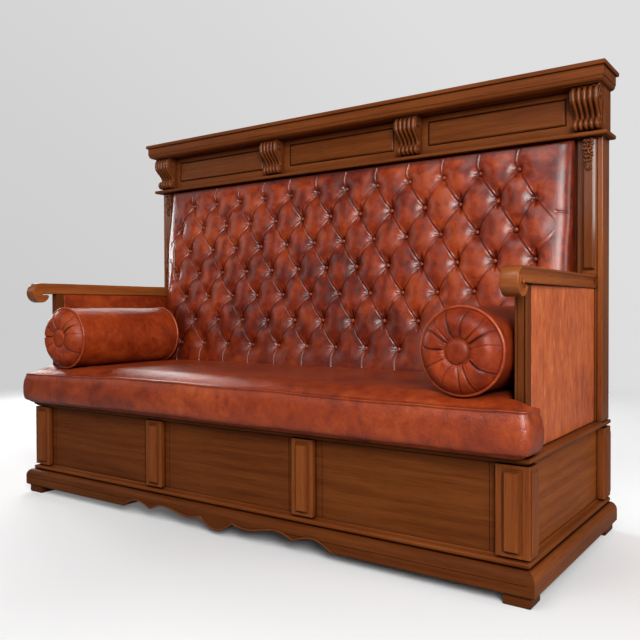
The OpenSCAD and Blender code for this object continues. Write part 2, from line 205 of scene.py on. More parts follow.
# ------------------------------------------------------------------ materials
class Mat:
    def __init__(self, name):
        self.m = bpy.data.materials.new(name)
        self.m.use_nodes = True
        self.t = self.m.node_tree
        self.t.nodes.clear()
        self.out = self.t.nodes.new("ShaderNodeOutputMaterial")
        self.b = self.t.nodes.new("ShaderNodeBsdfPrincipled")
        self.t.links.new(self.b.outputs[0], self.out.inputs[0])
        self.co = self.t.nodes.new("ShaderNodeTexCoord").outputs["Object"]

    def put(self, socket, value):
        if isinstance(value, bpy.types.NodeSocket):
            self.t.links.new(value, socket)
        else:
            socket.default_value = value

    def scaled(self, sx, sy, sz, rot=(0, 0, 0), loc=(0, 0, 0)):
        n = self.t.nodes.new("ShaderNodeMapping")
        n.inputs["Scale"].default_value = (sx, sy, sz)
        n.inputs["Rotation"].default_value = rot
        n.inputs["Location"].default_value = loc
        self.t.links.new(self.co, n.inputs["Vector"])
        return n.outputs[0]

    def noise(self, vec, scale, detail=3.0, rough=0.55, distortion=0.0):
        n = self.t.nodes.new("ShaderNodeTexNoise")
        self.t.links.new(vec, n.inputs["Vector"])
        n.inputs["Scale"].default_value = scale
        n.inputs["Detail"].default_value = detail
        n.inputs["Roughness"].default_value = rough
        n.inputs["Distortion"].default_value = distortion
        return n.outputs["Fac"]

    def voronoi(self, vec, scale, feature="F1", rand=1.0):
        n = self.t.nodes.new("ShaderNodeTexVoronoi")
        n.feature = feature
        self.t.links.new(vec, n.inputs["Vector"])
        n.inputs["Scale"].default_value = scale
        n.inputs["Randomness"].default_value = rand
        return n.outputs["Distance"]

    def wave(self, vec, scale, distortion=4.0, detail=3.0, dscale=1.0, direction="Z", profile="SIN"):
        n = self.t.nodes.new("ShaderNodeTexWave")
        n.wave_type = "BANDS"
        n.bands_direction = direction
        n.wave_profile = profile
        self.t.links.new(vec, n.inputs["Vector"])
        n.inputs["Scale"].default_value = scale
        n.inputs["Distortion"].default_value = distortion
        n.inputs["Detail"].default_value = detail
        n.inputs["Detail Scale"].default_value = dscale
        return n.outputs["Fac"]

    def math(self, op, a, b=0.0, c=None, clamp=False):
        n = self.t.nodes.new("ShaderNodeMath")
        n.operation = op
        n.use_clamp = clamp
        self.put(n.inputs[0], a)
        self.put(n.inputs[1], b)
        if c is not None:
            self.put(n.inputs[2], c)
        return n.outputs[0]

    def ramp(self, fac, stops, interp="LINEAR"):
        n = self.t.nodes.new("ShaderNodeValToRGB")
        n.color_ramp.interpolation = interp
        el = n.color_ramp.elements
        el[0].position, el[-1].position = stops[0][0], stops[-1][0]
        el[0].color, el[-1].color = self.rgba(stops[0][1]), self.rgba(stops[-1][1])
        for p, c in stops[1:-1]:
            e = el.new(p)
            e.color = self.rgba(c)
        self.put(n.inputs[0], fac)
        return n.outputs[0]

    @staticmethod
    def rgba(c):
        return (c, c, c, 1) if isinstance(c, (int, float)) else (*c, 1)

    def mix(self, fac, a, b, mode="MIX"):
        n = self.t.nodes.new("ShaderNodeMix")
        n.data_type = "RGBA"
        n.blend_type = mode
        self.put(n.inputs[0], fac)
        for s, v in ((n.inputs[6], a), (n.inputs[7], b)):
            self.put(s, v if isinstance(v, bpy.types.NodeSocket) else self.rgba(v))
        return n.outputs[2]

    def attr(self, name):
        n = self.t.nodes.new("ShaderNodeAttribute")
        n.attribute_name = name
        return n.outputs["Fac"]

    def cavity(self, distance, samples=6, inside=False):
        n = self.t.nodes.new("ShaderNodeAmbientOcclusion")
        n.samples = samples
        n.inside = inside
        n.inputs["Distance"].default_value = distance
        return n.outputs["AO"]

    def bump(self, height, strength, distance, normal=None):
        n = self.t.nodes.new("ShaderNodeBump")
        n.inputs["Strength"].default_value = strength
        n.inputs["Distance"].default_value = distance
        self.t.links.new(height, n.inputs["Height"])
        if normal is not None:
            self.t.links.new(normal, n.inputs["Normal"])
        return n.outputs[0]

    def finish(self, color, rough, normal=None, coat=0.0, coat_rough=0.2, spec=0.5, ior=1.5):
        self.put(self.b.inputs["Base Color"], color if isinstance(color, bpy.types.NodeSocket) else self.rgba(color))
        self.put(self.b.inputs["Roughness"], rough)
        self.b.inputs["IOR"].default_value = ior
        self.b.inputs["Specular IOR Level"].default_value = spec
        self.b.inputs["Coat Weight"].default_value = coat
        self.b.inputs["Coat Roughness"].default_value = coat_rough
        if normal is not None:
            self.t.links.new(normal, self.b.inputs["Normal"])
        return self.m


def make_wood(name, axis, tone=1.0, figure=0.35, seed=0.0, rough=0.36, crevice_shade=True, spec=0.16):
    """Satin walnut with its grain along axis."""
    M = Mat(name)
    along = {"x": (0.09, 1, 1), "y": (1, 0.09, 1), "z": (1, 1, 0.09)}[axis]
    fine = {"x": (0.022, 1, 1), "y": (1, 0.022, 1), "z": (1, 1, 0.022)}[axis]
    loc = (seed * 0.37, seed * 0.71, seed * 0.53)
    v1 = M.scaled(*along, loc=loc)
    v2 = M.scaled(*fine, loc=loc)
    big = M.noise(M.scaled(0.5 if axis == "x" else 1, 0.5 if axis == "y" else 1, 0.5 if axis == "z" else 1, loc=loc), 5.0, 2.0, 0.5)
    broad = M.noise(v1, 16.0, 4.0, 0.6, 1.2)
    # growth rings that wander along the grain
    across = {"x": "Z", "y": "Z", "z": "X"}[axis]
    rings = M.wave(v1, 8.5, 9.0, 3.0, 1.6, across)
    rings2 = M.wave(v1, 27.0, 6.0, 2.0, 1.0, across)
    streak = M.noise(v2, 330.0, 4.0, 0.65)
    pore = M.noise(v2, 900.0, 2.0, 0.5)
    f = M.math("MULTIPLY_ADD", broad, 0.50, M.math("MULTIPLY", rings, figure))
    f = M.math("ADD", f, M.math("MULTIPLY", rings2, 0.05))
    f = M.math("MULTIPLY_ADD", streak, 0.45, f)
    f = M.math("MULTIPLY_ADD", big, 0.35, f)
    f = M.math("SUBTRACT", f, 0.175 + 0.5 * figure)
    t = tone
    col = M.ramp(f, [
        (0.08, (0.066 * t, 0.0145 * t, 0.0036 * t)),
        (0.32, (0.112 * t, 0.0265 * t, 0.0058 * t)),
        (0.54, (0.155 * t, 0.0400 * t, 0.0086 * t)),
        (0.85, (0.215 * t, 0.0620 * t, 0.0140 * t))])
    dark_pore = M.ramp(pore, [(0.34, 0.72), (0.47, 1.0)])
    col = M.mix(1.0, col, dark_pore, "MULTIPLY")
    # painted shade: ambient occlusion darkens the wood in tight crevices and, more softly, in a wide band under
    # mouldings and between parts
    if crevice_shade:
        tight_crevice_shade = M.ramp(M.cavity(0.007, 6), [(0.34, (0.05, 0.03, 0.02)), (0.88, (1, 1, 1))])
        wide = M.ramp(M.cavity(0.045, 5), [(0.30, (0.42, 0.34, 0.30)), (0.92, (1, 1, 1))])
        col = M.mix(0.90, col, tight_crevice_shade, "MULTIPLY")
        col = M.mix(0.80, col, wide, "MULTIPLY")
    r = M.math("MULTIPLY_ADD", streak, 0.14, rough - 0.07)
    h = M.math("MULTIPLY_ADD", pore, 0.6, M.math("MULTIPLY", streak, 0.8))
    nrm = M.bump(h, 0.16, 0.0006)
    return M.finish(col, r, nrm, coat=0.0, coat_rough=0.2, spec=spec)


def make_leather(name, tone=(1, 1, 1), rough=0.36, speckle=0.2, grain=0.25, streak=False, fold_shades=False, seed=0.0, contrast=1.0, spec=0.36):
    """Waxed antiqued leather: cloudy colour, painted shade in folds and crevices, fine grain."""
    M = Mat(name)
    loc = (seed * 1.3, seed * 0.7, seed * 2.1)
    if streak:
        v = M.scaled(1.0, 1.0, 0.30, loc=loc)
        c1 = M.noise(v, 34.0, 5.0, 0.66, 0.6)
        c2 = M.noise(v, 110.0, 4.0, 0.6, 0.3)
        c3 = M.noise(M.scaled(1, 1, 1, loc=loc), 4.0, 3.0, 0.5)
    else:
        v = M.scaled(1.0, 1.0, 1.0, loc=loc)
        c1 = M.noise(v, 8.0, 5.0, 0.60, 0.9)
        c2 = M.noise(v, 27.0, 5.0, 0.62, 0.6)
        c3 = M.noise(v, 2.6, 2.0, 0.5)
    cells = M.scaled(1.0, 1.0, 1.0, loc=loc)
    micro = M.noise(cells, 240.0, 3.0, 0.6)
    f = M.math("MULTIPLY_ADD", c1, 0.54, M.math("MULTIPLY", c2, 0.46))
    f = M.math("MULTIPLY_ADD", c3, 0.30, f)
    f = M.math("MULTIPLY_ADD", micro, 0.10, f)
    f = M.math("SUBTRACT", f, 0.70)
    f = M.math("MULTIPLY_ADD", f, 2.1 * contrast, 0.5)
    tr, tg, tb = tone
    col = M.ramp(f, [
        (0.02, (0.080 * tr, 0.0085 * tg, 0.0036 * tb)),
        (0.30, (0.150 * tr, 0.0160 * tg, 0.0046 * tb)),
        (0.58, (0.235 * tr, 0.0285 * tg, 0.0064 * tb)),
        (0.95, (0.350 * tr, 0.0580 * tg, 0.0130 * tb))])
    if fold_shades:
        # painted shade: the leather turns near-black where the crease-shade mask is high, in creases and pleats
        # (standing also for dark patina there), round the buttons, under the top moulding and low down
        col = M.mix(M.math("MULTIPLY", M.attr("fold_shade"), 0.86, clamp=True), col, (0.034, 0.0046, 0.0030))
    # painted shade: ambient occlusion darkens the leather in its crevices
    ao = M.cavity(0.010, 6)
    col = M.mix(0.8, col, M.ramp(ao, [(0.25, (0.16, 0.09, 0.07)), (0.80, (1, 1, 1))]), "MULTIPLY")
    grainf = M.voronoi(cells, 520.0, "F1")
    g2 = M.noise(cells, 165.0, 4.0, 0.65)
    r = M.math("MULTIPLY_ADD", c2, 0.16, rough - 0.08)
    r = M.math("MULTIPLY_ADD", g2, 0.10, M.math("SUBTRACT", r, 0.05))
    n1 = M.bump(grainf, grain, 0.0005)
    n2 = M.bump(g2, speckle, 0.0022, n1)
    return M.finish(col, r, n2, coat=0.0, spec=spec)


def make_plain(name, c1, c2, scale, rough, bump=0.2, dist=0.001, stretch=(1, 1, 1), metal=0.0):
    M = Mat(name)
    v = M.scaled(*stretch)
    n = M.noise(v, scale, 4.0, 0.6)
    col = M.ramp(n, [(0.3, c1), (0.7, c2)])
    r = M.math("MULTIPLY_ADD", n, 0.15, rough - 0.07)
    m = M.finish(col, r, M.bump(n, bump, dist))
    M.b.inputs["Metallic"].default_value = metal
    return m


WOOD = {
    "x": make_wood("walnut_x", "x", 1.05, 0.10, 1.0, spec=0.07),
    "base_x": make_wood("walnut_base_x", "x", 0.70, 0.10, 13.0, spec=0.06),
    "y": make_wood("walnut_y", "y", 1.20, 0.10, 2.0, spec=0.06),
    "z": make_wood("walnut_z", "z", 1.28, 0.08, 3.0, spec=0.10),
    "strip": make_wood("walnut_strip", "z", 1.02, 0.08, 11.0, 0.14, spec=0.34),
    "post": make_wood("walnut_post", "z", 1.45, 0.08, 14.0, 0.16, spec=0.30),
    "arm": make_wood("walnut_arm", "z", 0.85, 0.08, 15.0, spec=0.08),
    "rail": make_wood("walnut_rail", "y", 1.80, 0.12, 9.0, 0.30, spec=0.14),
    "drum": make_wood("walnut_drum", "x", 1.60, 0.10, 10.0, 0.26, spec=0.30),
    # painted shade and light: front and side panels are the same walnut; the front copy is darker for the shade on the
    # front
    "panel_x": make_wood("walnut_panel_x", "x", 0.80, 0.14, 4.0, spec=0.05),
    # painted shade: the frieze copy is darker, standing for the cornice's shadow over it
    "frieze": make_wood("walnut_frieze_shaded", "x", 0.86, 0.10, 12.0, 0.26, spec=0.07),
    # the side-panel copy is lighter for the light falling on that side
    "panel_y": make_wood("walnut_panel_y", "y", 1.55, 0.14, 5.0, spec=0.04),
    "dark_x": make_wood("walnut_dark_x", "x", 0.80, 0.10, 6.0, spec=0.08),
    "dark_z": make_wood("walnut_dark_z", "z", 0.85, 0.10, 7.0, spec=0.08),
    "carved": make_wood("walnut_carved", "z", 1.15, 0.06, 8.0, 0.30, spec=0.22),
}
SEAT_LEATHER = make_leather("leather_seat", (1.07, 1.10, 0.70), 0.31, 0.60, 0.34, seed=1.0, spec=0.60)
BOLSTER_LEATHER = make_leather("leather_bolster", (1.16, 1.20, 0.94), 0.38, 0.34, 0.30, fold_shades=True, seed=2.0, spec=0.22)
BACK_LEATHER = make_leather("leather_back", (0.91, 0.75, 0.32), 0.31, 0.16, 0.22, fold_shades=True, seed=3.0, contrast=1.70, spec=0.43)
ARM_LEATHER = make_leather("leather_arm", (2.24, 4.2, 5.8), 0.42, 0.15, 0.25, streak=True, seed=4.0, contrast=0.72)
CORD_LEATHER = make_leather("leather_cord", (2.3, 3.6, 5.0), 0.36, 0.12, 0.2, seed=6.0)
PIPING_LEATHER = make_leather("leather_piping", (1.28, 1.55, 1.75), 0.30, 0.12, 0.25, seed=7.0)
TRIM_LEATHER = make_leather("leather_trim", (0.96, 0.90, 0.80), 0.26, 0.12, 0.25, seed=5.0)
CARCASS = make_plain("carcass_wood", (0.44, 0.28, 0.14), (0.58, 0.40, 0.22), 60, 0.6, 0.3, 0.001, (0.1, 1, 1))
FOAM = make_plain("foam", (0.74, 0.66, 0.48), (0.84, 0.78, 0.60), 180, 0.9, 0.6, 0.002)
STEEL = make_plain("screw_steel", (0.42, 0.42, 0.43), (0.6, 0.6, 0.6), 300, 0.35, 0.1, 0.0003, metal=1.0)


# ------------------------------------------------------------------ carried-over wood
def set_material(ob, mat):
    if not ob.data.materials:
        ob.data.materials.append(mat)
    for s in ob.material_slots:
        s.link = "OBJECT"
        s.material = mat


def finish_cad(name, mat, width=0.0012, segments=2):
    ob = NODE[name]
    set_material(ob, mat)
    me = ob.data
    if "custom_normal" in me.attributes:
        me.attributes.remove(me.attributes["custom_normal"])
    me.polygons.foreach_set("use_smooth", [True] * len(me.polygons))
    modify(ob, "WELD", merge_threshold=0.00002)
    if width:
        modify(ob, "BEVEL", width=width, segments=segments, limit_method="ANGLE",
               angle_limit=math.radians(34), use_clamp_overlap=True, harden_normals=False)
    modify(ob, "WEIGHTED_NORMAL", keep_sharp=False, weight=60)


for n in ("plinth_front", "base_bead_front", "top_moulding_front", "necking_moulding",
          "frieze_box", "cornice_ogee", "cornice_cap"):
    finish_cad(n, WOOD["base_x" if n == "plinth_front" else "x"], 0.0013)
for n in ("plinth_left", "plinth_right", "base_bead_left", "base_bead_right",
          "top_moulding_left", "top_moulding_right"):
    finish_cad(n, WOOD["y"], 0.0013)
for n in ("corner_pilaster_left", "corner_pilaster_right", "mid_pilasters", "rear_pilasters",
          "arm_post_left", "arm_post_right", "back_post_left", "back_post_right", "post_strips"):
    kind = "strip" if n == "post_strips" else "post" if n.startswith("back_post") else "arm" if n.startswith("arm_post") else "z"
    finish_cad(n, WOOD[kind], 0.0014)
finish_cad("front_panel", WOOD["panel_x"], 0.0006)
finish_cad("frieze_panels", WOOD["frieze"], 0.0010)
for n in ("side_panel_left", "side_panel_right"):
    finish_cad(n, WOOD["panel_y"], 0.0006)
for n in ("foot_front_left", "foot_front_right", "foot_rear_left", "foot_rear_right",
          "plinth_back", "base_back_panel"):
    finish_cad(n, WOOD["dark_x"], 0.0015)
finish_cad("rear_panel", WOOD["dark_z"], 0.0015)
finish_cad("back_board", WOOD["dark_z"], 0.0008)
for n in ("deck_bearers", "seat_deck", "arm_board_left", "arm_board_right"):
    finish_cad(n, CARCASS, 0.0008)
finish_cad("deck_screws", STEEL, 0.0002)
for n in ("seat_cushion_foam", "bolster_left_core", "bolster_right_core", "back_foam"):
    finish_cad(n, FOAM, 0.004)

# ------------------------------------------------------------------ tufted back
DX, DZ, ZTOP, ROWS = 0.1348, 0.0999, 1.1707, 7
H_BASE, H_PILLOW, H_ROLL = 0.0270, 0.0042, 0.0195


# two buttons that sit a little off their places
STRAYS = ((6.0 * DX, ZTOP - DZ, -0.0090, 0.0034), (5.0 * DX, ZTOP - DZ, 0.0, 0.0050))


def y_button(z):
    return 0.2265 + 0.1390 * (z - 0.8)


def buttons_at():
    for k in range(ROWS):
        n = 12 if k % 2 == 0 else 13
        for i in range(n):
            x, z = (i - (n - 1) / 2) * DX, ZTOP - k * DZ
            for wx, wz, dx, dz in STRAYS:
                if abs(x - wx) < 0.02 and abs(z - wz) < 0.02:
                    x, z = x + dx, z + dz
            yield k, i, x, z


def nearest_button(x, z):
    best = np.full(x.shape, 9.0)
    bx, bz, bk, bi = (np.zeros(x.shape) for _ in range(4))
    for k in range(ROWS):
        n = 12 if k % 2 == 0 else 13
        off = -(n - 1) / 2 * DX
        i = np.clip(np.round((x - off) / DX), 0, n - 1)
        cx, cz = off + i * DX, ZTOP - k * DZ
        d = np.hypot(x - cx, z - cz)
        hit = d < best
        best = np.where(hit, d, best)
        bx, bz = np.where(hit, x - cx, bx), np.where(hit, z - cz, bz)
        bk, bi = np.where(hit, k, bk), np.where(hit, k * 17 + i, bi)
    return best, bx, bz, bk, bi


def tufted_height(x, z):
    """Height of the leather in front of the button plane, and the painted shade it gets: in folds, round the buttons,
    under the moulding and low down.
    """
    x_seen, z_seen = x, z
    for wx, wz, dx, dz in STRAYS:
        w = np.exp(-(((x_seen - wx) / 0.055) ** 2) - ((z_seen - wz) / 0.055) ** 2)
        x, z = x - dx * w, z - dz * w
    u, v = x / (DX / 2), (z - ZTOP) / DZ
    # the folds wander a little between the buttons
    u = u + 0.009 * vnoise(x * 14, z * 14, 5)
    vv = np.clip(v, -(ROWS - 1), 0)
    a, b = (u + vv - 1) / 2, (u - vv - 1) / 2
    sa, sb = np.abs(np.sin(PI * a)), np.abs(np.sin(PI * b))
    over = np.maximum(v, 0) + np.maximum(-(ROWS - 1) - v, 0)
    # a soft dip round every button
    dip = np.zeros_like(x)
    for k, i, cx, cz in buttons_at():
        cx, cz = (i - (11 if k % 2 == 0 else 12) / 2) * DX, ZTOP - k * DZ
        near = (np.abs(x - cx) < 0.13) & (np.abs(z - cz) < 0.13)
        d = np.hypot((x[near] - cx) * 1.04, z[near] - cz)
        dip[near] += np.exp(-((d / 0.0300) ** 1.22)) * (1 + 0.06 * math.sin(7.0 * i + 3.1 * k))
    cell = vnoise(np.floor(a) * 3.1 + 0.5, np.floor(b) * 2.7 + 0.5, 9)
    inside = sstep(-v, -0.02, 0.10) * sstep(v, -(ROWS - 1) - 0.02, -(ROWS - 1) + 0.10)
    outer = 1 - inside
    pillow = (sa * sb) ** 0.62
    wp = sstep(over, 0.05, 0.25)
    h = H_BASE * (1 - dip) + H_PILLOW * (1 + 0.25 * cell) * (pillow * inside + 0.8 * outer)
    r, bx, bz, bk, bi = nearest_button(x, z)
    # along the folds: a narrow groove, and the rolled lip of the pillow over it
    down = 1 - (vv - np.floor(vv))
    low_k = -np.floor(vv)
    low_even = (low_k % 2 == 1).astype(float)
    sA = (a - np.round(a)) * 2 * 0.05588 * 1000
    sB = -(b - np.round(b)) * 2 * 0.05588 * 1000
    along_a = sstep(sb, 0.08, 0.40)
    along_b = sstep(sa, 0.08, 0.40)
    up_odd = low_even
    amp_a = 0.9 + 3.0 * low_even * bump1(down, 0.80, 0.20) + 0.9 * (1 - low_even) * bump1(down, 0.72, 0.25)
    amp_b = 1.0 + 3.2 * up_odd * bump1(down, 0.32, 0.34) + 0.9 * (1 - up_odd) * bump1(down, 0.22, 0.22)
    lip = along_a * (amp_a * bump1(sA, 4.6, 3.6) - 2.3 * bump1(sA, -0.4, 1.8))
    lip = lip + along_b * (amp_b * bump1(sB, 4.4, 3.8) - 2.2 * bump1(sB, -1.2, 1.9))
    # painted shade in the fold grooves
    fold_shade = np.maximum(along_a * bump1(sA, -0.6, 1.9), along_b * bump1(sB, -1.3, 1.9) * (1 - 0.45 * up_odd * bump1(down, 0.25, 0.3)))
    # curved pleats above the first and below the last row of buttons
    bow = -0.0042 * np.sin(PI * np.clip(over / 0.62, 0, 1.3)) * DX / DX
    sP = (u - 1) / 2 - bow / DX
    sP = (sP - np.round(sP)) * DX * 1000
    pleat = wp * (3.0 * bump1(sP, -2.6, 2.6) - 2.4 * bump1(sP, 1.6, 1.8))
    # painted shade in the grooves of the pleats
    fold_shade = fold_shade * inside + outer * wp * (0.8 * bump1(sP, 1.9, 1.7) + 0.35 * bump1(sP, -7.0, 2.4))
    h = h + 0.001 * (lip * inside + pleat * outer)
    # creases that run out of each button
    rr = r * 1000
    jit = vnoise(bi * 1.7, bi * 0.0 + 0.3, 21)
    jit2 = vnoise(bi * 2.3, bi * 0.0 + 3.3, 22)
    even = (bk % 2 == 1).astype(float)
    ang = 0.10 * jit
    gx, gz = (bx * np.cos(ang) + bz * np.sin(ang)) * 1000, (-bx * np.sin(ang) + bz * np.cos(ang)) * 1000
    edge_up = 1 - sstep(v, -0.15, 0.05)
    len_up = (22 + 21 * even + 5 * jit2)
    len_dn = (9 + 27 * even + 4 * jit)
    w_up = sstep(gz, 2, 7) * (1 - sstep(gz, len_up * 0.50, len_up)) * edge_up
    w_dn = sstep(-gz, 2, 7) * (1 - sstep(-gz, len_dn * 0.48, len_dn)) * (0.25 + 0.75 * even)
    gc = gx - 3.2 - 0.08 * np.abs(gz)
    h = h - 0.001 * w_up * ((4.6 + 3.2 * even) * bump1(gc, 0, 3.2 + 0.9 * even) - 2.2 * bump1(gc, -7.4, 3.6))
    h = h - 0.001 * w_dn * (7.2 * bump1(gc, 0, 3.9) - 3.2 * bump1(gc, -7.6, 4.2))
    len_l = 27 + 8 * jit - 7 * even
    w_l = sstep(-gx, 5, 10) * (1 - sstep(-gx, len_l * 0.5, len_l))
    w_r = sstep(gx, 5, 9) * (1 - sstep(gx, 9, 18 + 4 * jit2))
    h = h - 0.001 * w_l * (2.1 * bump1(gz, -2.6, 1.9) - 2.2 * bump1(gz, 1.6, 2.2))
    h = h - 0.001 * w_r * 1.3 * bump1(gz + 0.4 * jit * 5, 1.0, 2.0)
    # painted shade in the slits above, below and beside each button
    fold_shade = np.maximum(fold_shade, 1.0 * w_up * bump1(gc, 0.3, 2.9 + 1.0 * even))
    fold_shade = np.maximum(fold_shade, 1.0 * w_dn * bump1(gc, 0.3, 3.8))
    fold_shade = np.maximum(fold_shade, 0.55 * w_l * bump1(gz, -3.0, 1.7))
    fold_shade = np.maximum(fold_shade, 0.40 * w_r * bump1(gz, 1.0, 2.0))
    theta = np.arctan2(gz, gx)
    h = h + 0.00040 * bump1(rr, 14, 6.0) * (np.cos(9 * theta + 6 * jit) + 0.6 * np.cos(15 * theta + 9 * jit2))
    h = h - 0.0022 * bump1(rr, 0, 9.0)
    # painted shade in the dip round each button
    fold_shade = np.maximum(fold_shade, 1.0 * bump1(rr, 9.4, 3.4))
    fold_shade = np.maximum(fold_shade, 0.42 * bump1(rr, 0, 15))
    # smooth roll at both ends of the field, into which the folds run out
    e = np.abs(x)
    fade = sstep(e, 0.806, 0.872)
    fade_top = sstep(e, 0.750, 0.866)
    up_w = sstep(v, -1.15, -0.85)
    fade = fade * (1 - up_w) + fade_top * up_w
    # the outermost buttons pull one fold each into the roll, not two
    only_low = ((np.abs(v + 1.0) < 0.98) & (v > -1.0) & (e > 0.8088)).astype(float)
    fold_shade = fold_shade * (1 - 0.9 * only_low * sstep(e, 0.812, 0.822))
    roll = H_ROLL + 0.0014 * vnoise(z * 11, x * 0 + np.sign(x), 31)
    h = h * (1 - fade) + roll * fade
    fold_shade = fold_shade * (1 - fade)
    h = h + 0.0009 * fnoise(x * 13, z * 13, 41, 2) + 0.0012 * vnoise(x * 6, z * 6, 43)
    # the top of the field rolls back under the moulding
    tuck = sstep(v, 0.10, 0.70)
    h = h - 0.0105 * tuck * (1 - 0.8 * sstep(e, 0.76, 0.87))
    # painted shadow along the top, under the moulding
    fold_shade = np.maximum(fold_shade, 0.85 * sstep(v, 0.50, 0.62))
    # painted shade: the leather is darker low down, where the seat and bolsters shade it
    fold_shade = np.maximum(fold_shade, 0.36 * sstep(-z, -0.76, -0.61))
    return h, np.clip(fold_shade, 0, 1)


ROLL_CREASES = (  # side, height in rows below the first, start, length in mm, depth, slope
    (1, -1.50, 0.862, 44, 0.8, 0.10), (-1, -1.60, 0.850, 36, 0.9, 0.25), (-1, -2.42, 0.846, 40, 1.1, -0.30),
    (-1, -3.50, 0.850, 40, 1.0, -0.10), (-1, -4.55, 0.852, 36, 0.9, 0.20), (1, -5.50, 0.856, 40, 1.0, -0.15))


def roll_creases(x, z):
    # d is the depth of each crease, f the painted shade in it
    d, f = np.zeros_like(x), np.zeros_like(x)
    for side, vc, x0, length, depth, slope in ROLL_CREASES:
        dx = (x * side - x0) * 1000
        dz = (z - ZTOP - vc * DZ) * 1000 + slope * dx
        w = sstep(dx, 0, 9) * (1 - sstep(dx, length * 0.6, length))
        d += -0.0022 * depth * w * (bump1(dz, 0, 2.6) - 0.55 * bump1(np.abs(dz), 6.5, 3.2))
        f = np.maximum(f, 0.50 * depth * w * bump1(dz, 0, 2.0))
    # a tall crease beside the left-hand roll
    for xc, z0, z1, depth in ((-0.826, 0.845, 1.005, 1.9), (-0.852, 0.79, 0.885, 1.2), (0.838, 0.70, 0.80, 0.8), (-0.846, 0.56, 0.68, 1.0)):
        s = (x - xc - 0.006 * np.sin((z - z0) * 22)) * 1000
        w = sstep(z, z0, z0 + 0.03) * (1 - sstep(z, z1 - 0.03, z1))
        d += -0.0030 * depth * w * (bump1(s, 0, 3.0) - 0.6 * bump1(s, -8.0, 4.0) - 0.3 * bump1(s, 8.0, 4.0))
        f = np.maximum(f, 0.75 * depth * w * bump1(s, 0, 2.6))
    return d, f


